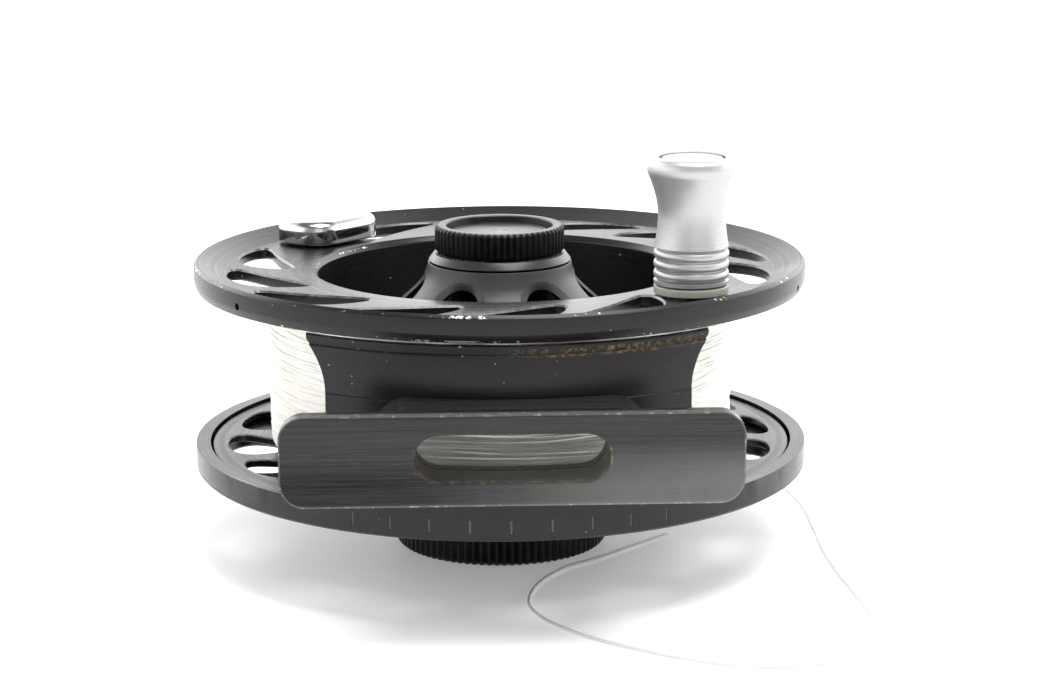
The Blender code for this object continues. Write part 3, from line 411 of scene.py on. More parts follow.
def brushed_black(name):
    """The foot: brushed black anodising, a painted highlight on the lower right of its face, and a
    lighter rim that is part painted highlight, part chipped wear.
    """
    m = Recipe(name)
    x, y, z = m.part("X"), m.part("Y"), m.part("Z")
    hair = m.noise(1.0, 4.0, 0.7, m.vector(m.times(x, 0.05), m.times(y, 3.4), m.times(z, 3.4)))
    scratch = m.noise(1.0, 2.0, 0.6, m.vector(m.times(x, 0.20), m.times(y, 8.0),
                                              m.times(z, 8.0)))
    mottle = m.noise(0.06, 4.0, 0.6)
    # painted highlight: the face's lower right is lightened to a patchy greenish grey for the light
    # it catches
    right = m.times(m.ramp(x, -16.0, 29.0), m.ramp(z, 30.5, 23.5))
    tone = m.mix(m.ramp(hair, 0.32, 0.70), (0.007, 0.0065, 0.007), (0.026, 0.025, 0.026))
    tone = m.mix(m.times(m.times(right, m.ramp(mottle, -0.25, 0.60)), 0.80), tone,
                 (0.150, 0.160, 0.148))
    tone = m.mix(m.times(m.ramp(scratch, 0.62, 0.72), 0.4), tone, (0.085, 0.083, 0.080))
    # distance in from the foot's outline, for the lighter rim: a painted highlight along the bevel,
    # with chipped wear
    high = m.math("SUBTRACT", m.math("ABSOLUTE", m.math("SUBTRACT", z, FOOT_HEIGHT)),
                  FOOT_SIZE[1] / 2 - FOOT_CORNER)
    wide = m.math("SUBTRACT", m.math("ABSOLUTE", x), FOOT_SIZE[0] / 2 - FOOT_CORNER)
    out_x, out_z = m.math("MAXIMUM", wide, 0.0), m.math("MAXIMUM", high, 0.0)
    corner = m.math("SQRT", m.add(m.times(out_x, out_x), m.times(out_z, out_z)))
    inner = m.math("MINIMUM", m.math("MAXIMUM", wide, high), 0.0)
    depth = m.math("SUBTRACT", FOOT_CORNER, m.add(corner, inner))
    rim = m.times(m.ramp(depth, 0.30, 0.14), m.ramp(y, -54.2, -54.8))
    chips = m.ramp(m.noise(0.9, 4.0, 0.7), 0.54, 0.64)
    # painted highlight along the rim, with chips of worn bare metal
    rim_highlight_and_wear = m.times(rim, m.add(m.times(chips, 0.45), 0.22))
    tone = m.mix(rim_highlight_and_wear, tone, (0.36, 0.35, 0.33))
    # dust and worn gold inside the slot
    slot = m.ramp(m.math("ABSOLUTE", x), 13.75, 13.6)
    inside = m.times(m.ramp(y, -54.72, -54.5), m.times(slot, m.ramp(depth, 2.6, 2.9)))
    grime = m.ramp(m.noise(1.1, 5.0, 0.75), 0.45, 0.62)
    floor = m.times(m.times(inside, m.ramp(z, 26.2, 24.6)), grime)
    tone = m.mix(m.times(floor, 0.75), tone, (0.27, 0.23, 0.17))
    lip = m.times(m.band(y, -54.95, -54.55, 0.12), m.times(slot, m.ramp(depth, 2.6, 2.9)))
    tone = m.mix(m.times(m.times(lip, chips), 0.6), tone, (0.30, 0.23, 0.11))
    dots = m.times(m.most(m.specks(1.9, 0.08, 0.20), m.specks(4.1, 0.14, 0.18)),
                   m.ramp(m.noise(0.12, 2.0), 0.45, 0.6))
    tone = m.mix(m.times(dots, 0.8), tone, DUST)
    rough = m.add(m.times(hair, 0.26), m.add(m.times(mottle, 0.20), 0.10))
    rough = m.blend(m.times(floor, 0.8), rough, 0.75)
    m.bump(m.add(m.times(hair, 0.8), m.times(scratch, 0.6)), 0.55, 0.03)
    return m.finish(tone, rough, m.times(rim_highlight_and_wear, 0.8), IOR=1.38)


def knurled_black(name):
    """Black anodised knurl, greyer in random patches and on the flat lip, with scattered dust."""
    m = Recipe(name)
    grain = m.noise(1.6, 4.0, 0.65)
    crest = m.ramp(m.noise(0.5, 3.0, 0.6), 0.45, 0.7)
    tone = m.mix(m.times(crest, 0.6), (0.006, 0.005, 0.005), (0.018, 0.016, 0.016))
    tone = m.mix(m.ramp(m.part("Z"), 50.28, 50.42), tone, (0.10, 0.092, 0.090))
    dots = m.specks(1.1, 0.08, 0.12)
    tone = m.mix(m.times(dots, 0.6), tone, DUST)
    rough = m.add(m.times(grain, 0.2), 0.28)
    m.bump(grain, 0.3, 0.02)
    return m.finish(tone, rough, 0.0, IOR=1.3)


def turned_metal(name, colour, rough, line_scale=7.0, axis=(0.0, 0.0), strength=0.25, tint=None,
                 metal=1.0):
    """Bright turned metal with fine lines round its axis and faint fingerprints."""
    m = Recipe(name, axis)
    across = m.add(m.radius(), m.times(m.part("Z"), 1.31))
    fine = m.lines(m.times(across, line_scale), 4.0)
    print_ = m.noise(0.22, 4.0, 0.6)
    low = tuple(0.80 * c for c in colour)
    tone = m.mix(m.ramp(fine, 0.30, 0.75), low, colour)
    if tint:
        tone = m.mix(m.times(m.ramp(print_, 0.5, 0.75), 0.35), tone, tint)
    roughness = m.add(m.times(fine, 0.14), m.add(m.times(print_, 0.12), rough - 0.13))
    m.bump(m.add(m.times(fine, 0.7), m.times(m.noise(2.4, 3.0), 0.3)), strength, 0.02)
    m.turned(0.45)
    return m.finish(tone, roughness, metal)


def moulded(name, colour, rough, grain=0.02, **settings):
    """Moulded polymer or rubber with a fine matt grain."""
    m = Recipe(name)
    fine = m.noise(2.0, 4.0, 0.6)
    cloud = m.noise(0.12, 3.0, 0.5)
    tone = m.mix(m.ramp(cloud, 0.3, 0.7), tuple(0.85 * c for c in colour), colour)
    m.bump(fine, 0.25, grain)
    return m.finish(tone, m.add(m.times(fine, 0.15), rough - 0.07), 0.0, **settings)


def carbon(name):
    """Woven carbon friction disc: a fine twill of two greys."""
    m = Recipe(name)
    x, y = m.part("X"), m.part("Y")
    wave = m.math("SINE", m.times(m.add(x, y), 4.2))
    weft = m.math("SINE", m.times(m.math("SUBTRACT", x, y), 4.2))
    cell = m.ramp(m.times(wave, weft), -0.3, 0.3)
    tone = m.mix(cell, (0.018, 0.018, 0.020), (0.060, 0.060, 0.064))
    m.bump(cell, 0.3, 0.05)
    return m.finish(tone, m.add(m.times(cell, 0.15), 0.42))


def wound_line(name):
    """Off-white line, a little yellowed, with a soft sheen."""
    m = Recipe(name)
    cloud = m.noise(0.10, 4.0, 0.6)
    fibre = m.noise(2.6, 4.0, 0.7)
    tone = m.mix(m.ramp(cloud, 0.35, 0.7), (0.90, 0.885, 0.83), (0.96, 0.95, 0.91))
    tone = m.mix(m.times(m.ramp(fibre, 0.52, 0.75), 0.35), tone, (0.80, 0.76, 0.66))
    m.bump(fibre, 0.4, 0.06)
    return m.finish(tone, m.add(m.times(fibre, 0.2), 0.42), 0.0)


def clear_line(name):
    """Pale, slightly clear line for the loose end."""
    m = Recipe(name)
    cloud = m.noise(0.25, 3.0, 0.5)
    tone = m.mix(cloud, (0.68, 0.68, 0.64), (0.80, 0.80, 0.78))
    m.bump(m.noise(1.5, 2.0), 0.1, 0.02)
    return m.finish(tone, m.add(m.times(cloud, 0.2), 0.22), 0.0, IOR=1.5,
                    Transmission_Weight=0.15)


# ---------------------------------------------------------------- mesh tools

def polar(radius, angle):
    return radius * cos(radians(angle)), radius * sin(radians(angle))


def put(name, mesh, smooth=35.0):
    """A new object for a mesh that is in millimetres, scaled to metres and shaded smooth."""
    mesh.transform(Matrix.Diagonal((MM, MM, MM, 1.0)))
    made = bpy.data.objects.new(name, mesh)
    scene.collection.objects.link(made)
    mesh.shade_smooth()
    mesh.set_sharp_from_angle(angle=radians(smooth))
    return made


def clean(shape):
    """Merges doubled points, drops empty faces and points every face outwards."""
    bmesh.ops.remove_doubles(shape, verts=shape.verts, dist=0.0005)
    bmesh.ops.dissolve_degenerate(shape, edges=shape.edges, dist=0.0005)
    bmesh.ops.recalc_face_normals(shape, faces=shape.faces)


def fillet(profile, radius, closed=True, turns=3):
    """Rounds each corner of a profile. A point's third value is that corner's own radius."""
    rounded = []
    count = len(profile)
    for i, point in enumerate(profile):
        here = Vector(point[:2])
        size = point[2] if len(point) > 2 else radius
        if size <= 0.0 or (not closed and i in (0, count - 1)):
            rounded.append(here[:])
            continue
        back = Vector(profile[i - 1][:2]) - here
        ahead = Vector(profile[(i + 1) % count][:2]) - here
        opening = acos(max(-1.0, min(1.0, back.normalized().dot(ahead.normalized()))))
        if opening > radians(168):
            rounded.append(here[:])
            continue
        reach = min(size / max(0.2, sin(opening / 2) / max(0.2, cos(opening / 2))),
                    0.42 * back.length, 0.42 * ahead.length)
        start, stop = here + back.normalized() * reach, here + ahead.normalized() * reach
        for k in range(turns + 1):
            t = k / turns
            rounded.append(((1 - t) ** 2 * start + 2 * t * (1 - t) * here + t * t * stop)[:])
    return rounded


def lathe(name, profile, steps=192, at=(0.0, 0.0), closed=True, shape=None):
    """Turns a profile of (radius, height) about Z. Shape may change a radius with the angle."""
    work = bmesh.new()
    columns = []
    for i in range(steps):
        a = 2 * pi * i / steps
        column = []
        for r, z in profile:
            radius = shape(r, a) if shape else r
            column.append(work.verts.new((at[0] + radius * cos(a), at[1] + radius * sin(a), z)))
        columns.append(column)
    spans = len(profile) if closed else len(profile) - 1
    for i in range(steps):
        a, b = columns[i], columns[(i + 1) % steps]
        for k in range(spans):
            n = (k + 1) % len(profile)
            work.faces.new((a[k], b[k], b[n], a[n]))
    clean(work)
    return mesh_of(work, name)


def grown(outline, by):
    """A closed anticlockwise outline moved outwards."""
    moved = []
    count = len(outline)
    for i in range(count):
        a, b, c = (Vector(outline[k % count]) for k in (i - 1, i, i + 1))
        first, second = (b - a).normalized(), (c - b).normalized()
        n1, n2 = Vector((first.y, -first.x)), Vector((second.y, -second.x))
        normal = (n1 + n2).normalized()
        moved.append((b + normal * by / max(0.55, normal.dot(n1)))[:])
    return moved


def loft(name, sections):
    """A closed solid through outlines of equal length, given as (outline, height)."""
    work = bmesh.new()
    skin(work, [[work.verts.new((x, y, z)) for x, y in outline] for outline, z in sections])
    return mesh_of(work, name)


def chamfered_prism(outline, low, high, chamfer):
    """Sections of a cutter that breaks both edges of the plate it goes through."""
    over = 0.2
    return [(grown(outline, chamfer + over), low - over), (grown(outline, chamfer), low),
            (outline, low + chamfer), (outline, high - chamfer),
            (grown(outline, chamfer), high), (grown(outline, chamfer + over), high + over)]


def rod(radius, low, high, sides=48):
    outline = [polar(radius, 360 * i / sides) for i in range(sides)]
    return loft("rod", [(outline, low), (outline, high)])


def moved(mesh, *steps):
    for step in steps:
        mesh.transform(step)
    return mesh


def shift(x=0.0, y=0.0, z=0.0):
    return Matrix.Translation((x, y, z))


def turn(angle, axis):
    return Matrix.Rotation(radians(angle), 4, axis)


def together(meshes):
    """One mesh from several that don't touch."""
    work = bmesh.new()
    for mesh in meshes:
        work.from_mesh(mesh)
    return mesh_of(work, "together")


def settle(piece):
    """Works all of a piece's modifiers out into its mesh."""
    graph = bpy.context.evaluated_depsgraph_get()
    graph.update()
    mesh = bpy.data.meshes.new_from_object(piece.evaluated_get(graph))
    piece.modifiers.clear()
    piece.data = mesh


def carve(piece, *cutters):
    """Cuts a piece, one after another, with cutters that are meshes in millimetres."""
    helpers = []
    for mesh in cutters:
        helper = put("helper", mesh)
        boolean = piece.modifiers.new("carve", "BOOLEAN")
        boolean.operation = "DIFFERENCE"
        boolean.solver = "EXACT"
        boolean.object = helper
        helpers.append(helper)
    settle(piece)
    for helper in helpers:
        bpy.data.objects.remove(helper)
    piece.data.shade_smooth()
    piece.data.set_sharp_from_angle(angle=radians(34))


def mark_chamfers(piece, material, *zones):
    """Gives a second material to the sloped faces in zones of (lowest and highest) radius and Z."""
    piece.data.materials.append(material)
    for face in piece.data.polygons:
        if not 0.25 < abs(face.normal.z) < 0.92:
            continue
        x, y, z = (value / MM for value in face.center)
        radius = sqrt(x * x + y * y)
        if any(a < radius < b and c < z < d for a, b, c, d in zones):
            face.material_index = 1


def break_edges(piece, width, limit, turns=2):
    """Rounds the sharp edges left by milling."""
    bevel = piece.modifiers.new("bevel", "BEVEL")
    bevel.width = width * MM
    bevel.segments = turns
    bevel.limit_method = "ANGLE"
    bevel.angle_limit = radians(limit)
    bevel.use_clamp_overlap = True
    bevel.harden_normals = False
    settle(piece)
    piece.data.shade_smooth()
    piece.data.set_sharp_from_angle(angle=radians(38))


def dress(piece, material, body, slot, *nodes):
    """Gives a finished piece its material, its body and the CAD nodes it stands for. Its slot is
    not used.
    """
    piece.data.materials.clear()
    piece.data.materials.append(material)
    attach(piece, body)
    if nodes:
        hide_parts(*nodes)


def port_outline(start, sweep, spread, inner, outer, points=16):
    """A leaf that is blunt at its outer end and sweeps round to a pointed inner tip."""
    def edge(share, side):
        radius = inner + (outer - inner) * share
        middle = start + sweep * (1.0 - share)
        half = spread * share ** 0.55 * sqrt(max(0.0, 1.0 - share ** 6))
        return polar(radius, middle + side * half)

    shares = [sin(pi / 2 * i / points) for i in range(1, points)]
    rising = [edge(s, -1) for s in shares]
    falling = [edge(s, 1) for s in reversed(shares)]
    return [edge(0.004, 0)] + rising + [edge(1.0, 0)] + falling


def ports(pattern, inner, outer, low, high, chamfer, skip=()):
    count, start, sweep, spread = pattern
    return [loft("port", chamfered_prism(
        port_outline(start + k * 360.0 / count, sweep, spread, inner, outer), low, high, chamfer))
        for k in range(count) if k not in skip]


def stadium(length, width, centre=(0.0, 0.0), turns=20):
    radius = width / 2
    half = length / 2 - radius
    right = [(half + radius * cos(a), radius * sin(a))
             for a in [-pi / 2 + pi * i / turns for i in range(turns + 1)]]
    left = [(-x, -y) for x, y in right]
    return [(x + centre[0], y + centre[1]) for x, y in right + left]


def rounded_box(length, width, corner, centre=(0.0, 0.0), turns=12):
    points = []
    for quarter in range(4):
        sx = 1 if quarter in (0, 3) else -1
        sy = 1 if quarter in (0, 1) else -1
        cx, cy = sx * (length / 2 - corner), sy * (width / 2 - corner)
        for i in range(turns + 1):
            a = pi / 2 * (quarter + i / turns)
            points.append((centre[0] + cx + corner * cos(a), centre[1] + cy + corner * sin(a)))
    return points


# ---------------------------------------------------------------- frame

def pillar_half(height, half, flare=2.2):
    """Half width of a pillar, which flares where it meets the rim above and the plate below."""
    above = max(0.0, (height - 33.5) / 6.55)
    below = max(0.0, (22.5 - height) / 5.3)
    return half + flare * (min(above, 1.1) ** 2 + below ** 2)


def window_outline(half, side):
    """One side opening of the frame, from the pillar's flared edge out past the rim."""
    low, tall, steps, beyond = 17.2, 25.1, 48, 56.0
    heights = [low + tall * i / steps for i in range(steps + 1)]
    edge = [(side * pillar_half(z, half), z) for z in heights]
    outline = edge + [(side * beyond, heights[-1]), (side * beyond, heights[0])]
    return outline if side < 0 else outline[::-1]


def upright(mesh):
    """A loft made in XY turned so that its outline faces -Y and its Y becomes height."""
    mesh.transform(turn(90, "X"))
    return mesh


def make_frame():
    profile = fillet([
        (2.8, 16.5), (20.8, 16.5), (21.6, 15.1, 0.3), (45.6, 15.1, 0.5), (45.6, 41.3),
        (46.9, 41.3, 0.12), (46.9, 40.05, 0.05), (47.62, 40.05, 0.18), (47.62, 33.4, 0.0),
        (FRAME_RADIUS, 33.3, 0.05), (FRAME_RADIUS, 17.2, 0.0), (FRAME_RADIUS, 13.7, 0.25),
        (47.4, 13.3, 0.25), (42.4, 13.3, 0.0), (2.8, 13.3),
    ], 0.15)
    piece = put("frame_shell", lathe("frame_shell", profile, 256))
    windows = []
    for half, low, high in ((26.0, -0.5, 54.0), (10.0, -54.0, 0.5)):
        for side in (-1, 1):
            outline = window_outline(half, side)
            windows.append(upright(loft("window", [(outline, low), (outline, high)])))
    carve(piece, *windows)
    break_edges(piece, 0.16, 50.0)
    cuts = ports((7, 184.0, 7.0, 22.0), 24.5, 43.6, 13.3, 15.1, 0.35)
    slot = stadium(*FOOT_SLOT, (0.0, FOOT_HEIGHT))
    cuts.append(upright(loft("slot", [(slot, 40.0), (slot, 60.0)])))
    mark = rounded_box(0.8, 0.34, 0.1, (47.95, 0.0), 2)
    for k in range(TICK_COUNT):
        tick = loft("tick", [(mark, 14.35), (mark, 16.45)])
        cuts.append(moved(tick, turn(-118 + 7 * k, "Z")))
    carve(piece, together(cuts))
    worn = [(47.62, 40.05, 0.30), (46.9, 41.3, 0.30), (FRAME_RADIUS, 17.2, 0.35),
            (45.6, 17.2, 0.35), (47.6, 13.5, 0.35)]
    black = anodised("black_anodised_frame", wear=worn, wear_share=0.80, dust=0.5,
                     sunk=(47.6, 14.2, 16.6), grime=(40.3, 0.5))
    dress(piece, black, "frame", "black_anodised", "frame")
    # the frame's port chamfers get a painted highlight
    mark_chamfers(piece, painted_chamfer_highlight("frame_chamfer_highlight"), (24.0, 44.5, 13.0, 15.4))


def make_foot():
    box = rounded_box(*FOOT_SIZE, FOOT_CORNER, (0.0, FOOT_HEIGHT))
    plate = upright(loft("foot", [(grown(box, -0.35), 52.8), (box, 53.15), (box, FOOT_FACE)]))
    piece = put("foot_plate", plate)
    outline = rounded_box(38.0, 13.4, 5.0, (0.0, FOOT_HEIGHT))
    stem = put("stem", upright(loft("stem", [(outline, 40.0), (outline, 53.5)])))
    carve(stem, moved(rod(48.1, 15.0, 40.0, 256)))
    union = piece.modifiers.new("stem", "BOOLEAN")
    union.operation = "UNION"
    union.solver = "EXACT"
    union.object = stem
    settle(piece)
    bpy.data.objects.remove(stem)
    slot = stadium(*FOOT_SLOT, (0.0, FOOT_HEIGHT))
    # the foot's face is hollowed along its length, up to a flat lip at each long edge
    bend, half_hollow = 20.0, 5.85
    hollow = moved(rod(bend, -40.0, 40.0, 360), turn(90, "Y"),
                   shift(0.0, -(FOOT_FACE + sqrt(bend ** 2 - half_hollow ** 2)), FOOT_HEIGHT))
    carve(piece, upright(loft("slot", [(slot, 40.0), (slot, 60.0)])), hollow)
    break_edges(piece, 0.22, 35.0, 3)
    dress(piece, brushed_black("black_anodised_foot"), "frame", "black_anodised", "reel_foot")


# ---------------------------------------------------------------- spool

def cone_radius(height):
    """Outer radius of the hub cone at a height: a steep neck over a spreading skirt."""
    drop = CONE_TOP - height
    bend, ease = CONE_BEND
    return 11.15 + CONE_RISE * drop + CONE_TURN * (hypot(drop - bend, ease) - hypot(bend, ease))


def cone_inner(height):
    """Inner radius of the hub cone, whose wall is equally thick square to its slope."""
    bend, ease = CONE_BEND
    past = CONE_TOP - bend - height
    slope = CONE_RISE + CONE_TURN * past / hypot(past, ease)
    return cone_radius(height) - CONE_WALL * sqrt(1.0 + slope * slope)


def cone_window():
    """Cutter along X for one window of the cone: a round hole whose wide chamfer follows it."""
    work = bmesh.new()
    rings = []
    steps = 64
    for radius, sunk in ((WINDOW_RADIUS, None), (WINDOW_RADIUS, 0.75), (4.95, -0.02),
                         (5.5, -0.6), (5.5, -1.2)):
        ring = []
        for i in range(steps):
            a = 2 * pi * i / steps
            y, z = radius * sin(a), WINDOW_HEIGHT + radius * cos(a)
            depth = 9.8 if sunk is None else sqrt(cone_radius(z) ** 2 - y * y) - sunk
            ring.append(work.verts.new((depth, y, z)))
        rings.append(ring)
    skin(work, rings)
    return mesh_of(work, "window")


def mark_windows(piece):
    """The cone's own greyer skin, and the same greyer material on its windows' chamfers."""
    piece.data.materials.append(anodised("cone_grey", black=(0.046, 0.041, 0.043), rough=0.38))
    for face in piece.data.polygons:
        x, y, z = (value / MM for value in face.center)
        radius = hypot(x, y)
        aside = (degrees(atan2(y, x)) + 30.0) % 60.0 - 30.0
        reach = hypot(radius * sin(radians(aside)), z - WINDOW_HEIGHT)
        if 11.0 < radius < cone_radius(z) - 0.03 and 3.83 < reach < 5.2:
            face.material_index = 2
        elif 30.0 < z < 44.79 and 10.9 < radius < 26.0 and abs(radius - cone_radius(z)) < 0.05:
            face.material_index = 2


def make_spool():
    levels = [CONE_TOP - (CONE_TOP - CONE_FOOT) * i / 30 for i in range(31)]
    cone = [(cone_radius(z), z, 0.0 if i else 0.15) for i, z in enumerate(levels)]
    low, high = CONE_INSIDE
    levels = [low + (high - low) * i / 16 for i in range(17)]
    inside = [(cone_inner(z), z, 0.0) for z in levels]
    profile = [(4.5, CONE_TOP)] + cone
    profile += [(27.1, 29.3, 0.5), (28.3, 30.5, 0.5), (28.3, 43.2, 0.5), (29.1, 44.0, 0.5)]
    profile += [(42.6, 44.0, 0.8), (46.5, 45.59, 0.3), (46.90, 45.74, 0.12), (47.43, 45.21, 0.15)]
    profile += [(47.43, 43.0, 0.7), (47.0, 41.75, 0.12), (43.7, 41.75), (43.2, 42.2)]
    profile += [(30.0, 42.2, 0.6), (30.0, 16.8, 0.6), (45.2, 16.8), (45.2, 15.6), (28.3, 15.6)]
    profile += [(28.3, 27.5)] + inside
    profile += [(7.6, 43.0), (7.6, 36.8), (9.4, 36.0), (9.4, 31.4), (4.5, 31.4)]
    piece = put("spool_body", lathe("spool_body", fillet(profile, 0.15), 256))
    cuts = ports((14, 187.3, 18.5, 12.3), 32.0, 42.4, 42.2, 44.0, 0.28, (5, 12))
    cuts += ports((16, 184.7, 5.6, 11.1), 31.5, 42.9, 15.6, 16.8, 0.2)
    hexagon = [polar(7.75, 60 * k) for k in range(6)]
    cuts.append(loft("socket", [(hexagon, 30.0), (hexagon, 35.5)]))
    for k in range(6):
        cuts.append(moved(cone_window(), turn(60 * k, "Z")))
    for place, size in ((HANDLE_AT, 2.3), (WEIGHT_AT, 1.8)):
        x, y = polar(*place)
        cuts.append(moved(rod(size, 41.0, 45.0, 32), shift(x, y)))
    for angle, height in ((-145.4, 43.3), (-20.6, 43.0)):
        cuts.append(moved(rod(0.55, 46.7, 49.0, 24), turn(90, "Y"), shift(z=height),
                          turn(angle, "Z")))
    carve(piece, together(cuts))
    worn = [(47.2, 45.5, 0.36), (47.1, 41.9, 0.25), (28.7, 43.6, 0.22)]
    black = anodised("black_anodised_spool", wear=worn, wear_share=0.64, dust=0.25,
                     knocks=(radians(-128), radians(-99)))
    dress(piece, black, "spool", "black_anodised", "spool")
    # the port chamfers of both flanges get a painted highlight
    mark_chamfers(piece, painted_chamfer_highlight("spool_chamfer_highlight"), (31.0, 42.9, 43.0, 44.2),
                  (31.0, 43.5, 16.0, 17.1))
    mark_windows(piece)


def make_collar():
    profile = fillet([(3.1, 45.6), (9.6, 45.6), (9.6, 46.2), (10.25, 46.2, 0.12),
                      (11.05, 45.2, 0.1), (11.1, 45.1, 0.03), (3.1, 45.1)], 0.05)
    piece = put("hub_collar_ring", lathe("hub_collar_ring", profile, 160))
    black = anodised("black_anodised_collar", black=(0.03, 0.03, 0.032), rough=0.24,
                     wear=((10.3, 46.2, 0.25),), wear_share=0.7)
    dress(piece, black, "spool", "black_anodised", "hub_collar")


def bead(crest, radius=5.55, root=5.02, half=0.66, turns=9):
    """A rounded ring on the handle, from its top groove to its lower one."""
    points = []
    for i in range(turns + 1):
        a = pi / 2 - pi * i / turns
        points.append((root + (radius - root) * cos(a) ** 0.8 if abs(cos(a)) > 1e-6 else root,
                       crest + half * sin(a)))
    return points


def make_handle():
    at = polar(*HANDLE_AT)
    profile = [(4.9, 64.25), (5.2, 64.4)]
    for i in range(9):
        a = radians(80 - 78 * i / 8)
        profile.append((5.35 + 1.30 * cos(a), 62.85 + 1.50 * sin(a)))
    for i in range(33):
        z = 62.1 - 10.9 * i / 32
        spread = (z - 55.8) / (6.3 if z > 55.8 else -4.6)
        gain = 1.62 if z > 55.8 else 0.5
        profile.append((4.95 + gain * abs(spread) ** 1.8, z))
    profile.append((5.1, 50.95))
    for crest in (50.1, 48.62, 47.14):
        profile += bead(crest)
    profile += [(5.1, 46.36), (5.5, 46.2), (5.5, 45.75), (3.7, 45.75), (3.7, 61.9), (4.9, 61.9)]
    piece = put("handle_grip", lathe("handle_grip", profile, 144, at))
    satin = turned_metal("satin_aluminium", (0.57, 0.57, 0.58), 0.40, 6.0, at, 0.30,
                         (0.70, 0.67, 0.60), 0.65)
    dress(piece, satin, "handle", "satin_aluminium", "handle_knob")
    disc = fillet([(0.0, 64.2), (4.5, 64.2, 0.25), (4.5, 63.3, 0.1), (0.0, 63.3)], 0.1, False)
    disc = put("handle_inset", lathe("handle_inset", disc, 128, at, False))
    dress(disc, satin, "handle", "satin_aluminium", "handle_cap")
    washer = fillet([(3.2, 45.45), (5.5, 45.45, 0.2), (5.5, SEAT, 0.1), (3.2, SEAT)], 0.05)
    washer = put("handle_seat", lathe("handle_seat", washer, 96, at))
    pale = moulded("washer_polymer", (0.58, 0.60, 0.50), 0.35, 0.01, Transmission_Weight=0.25,
                   IOR=1.5)
    dress(washer, pale, "spool", "washer_polymer", "handle_washer")


def make_counterweight():
    """A polished oval weight: straight sides, full rounded ends and a crowned top."""
    straight, round_in, round_up, steps = 2.3, 1.7, 1.55, 8
    outline = rounded_box(11.5, 17.0, 5.0, turns=16)
    sections = [(grown(outline, -0.35), SEAT), (grown(outline, -0.1), SEAT + 0.1),
                (outline, SEAT + 0.35), (outline, SEAT + straight)]
    for i in range(1, steps + 1):
        a = pi / 2 * i / steps
        sections.append((grown(outline, -round_in * (1 - cos(a))),
                         SEAT + straight + round_up * sin(a)))
    for inset, rise in ((2.6, 0.17), (3.6, 0.26), (4.6, 0.33)):
        sections.append((grown(outline, -inset), SEAT + straight + round_up + rise))
    mesh = moved(loft("weight", sections), turn(WEIGHT_AT[1], "Z"), shift(*polar(*WEIGHT_AT)))
    piece = put("counterweight_block", mesh, 50.0)
    steel = turned_metal("polished_steel", (0.80, 0.79, 0.77), 0.16, 1.2, polar(*WEIGHT_AT),
                         0.12, (0.62, 0.60, 0.56))
    dress(piece, steel, "spool", "polished_steel", "counterweight")


def knurl(teeth, depth, start, run_in, share=0.62):
    """Shape of a knurled edge: grooves of a depth that begin at a radius and deepen over run_in."""
    def radius_at(r, angle):
        if r < start:
            return r
        phase = abs((angle * teeth / (2 * pi)) % 1.0 - 0.5) * 2.0
        cut = max(0.0, 1.0 - (phase / share) ** 2)
        return r - depth * cut * min(1.0, (r - start) / run_in)

    return radius_at


def make_cap():
    teeth = 62
    profile = fillet([
        (0.0, 48.95), (8.1, 48.95, 0.15), (8.3, 50.3, 0.1), (8.5, 50.5, 0.1), (9.6, 50.5, 0.12),
        (10.07, 50.05, 0.12), (10.07, 46.8, 0.1), (9.77, 46.5, 0.1), (2.8, 46.5), (2.8, 48.3),
        (0.0, 48.3)], 0.1, False)
    edge = knurl(teeth, 0.42, 9.5, 0.4)
    piece = put("cap_knurl", lathe("cap_knurl", profile, teeth * 8, closed=False, shape=edge),
                30.0)
    dress(piece, knurled_black("black_knurl_cap"), "release_cap", "black_knurl", "release_cap")
    disc = fillet([(0.0, 49.6), (7.4, 49.6, 0.1), (7.6, 49.25, 0.05), (0.0, 49.25)], 0.05, False)
    disc = put("cap_disc", lathe("cap_disc", disc, 128, closed=False))
    black = anodised("black_anodised_inlay", black=(0.020, 0.016, 0.020), rough=0.26, dust=0.2)
    dress(disc, black, "release_cap", "black_anodised", "cap_inlay")


def make_knob():
    teeth = 84
    profile = fillet([
        (2.8, 6.5), (5.4, 6.5), (5.4, 4.8), (14.2, 4.8), (14.2, 12.6), (15.9, 12.6, 0.2),
        (16.55, 12.0, 0.2), (16.55, 0.5, 0.2), (16.05, 0.0, 0.2), (8.3, 0.0, 0.15), (8.3, 1.2),
        (4.3, 1.2), (4.3, 3.2), (2.8, 3.2)], 0.1)
    edge = knurl(teeth, 0.5, 15.2, 0.7)
    piece = put("knob_knurl", lathe("knob_knurl", profile, teeth * 8, shape=edge), 30.0)
    dress(piece, knurled_black("black_knurl_knob"), "drag_knob", "black_knurl", "drag_knob")
    plate = fillet([(0.0, 0.9), (8.0, 0.9, 0.05), (8.0, 0.0, 0.25), (0.0, 0.0)], 0.1, False)
    plate = put("knob_disc", lathe("knob_disc", plate, 128, closed=False))
    black = anodised("black_anodised_plate", rough=0.26, dust=0.15)
    dress(plate, black, "drag_knob", "black_anodised", "knob_face_plate")


# ---------------------------------------------------------------- wound line

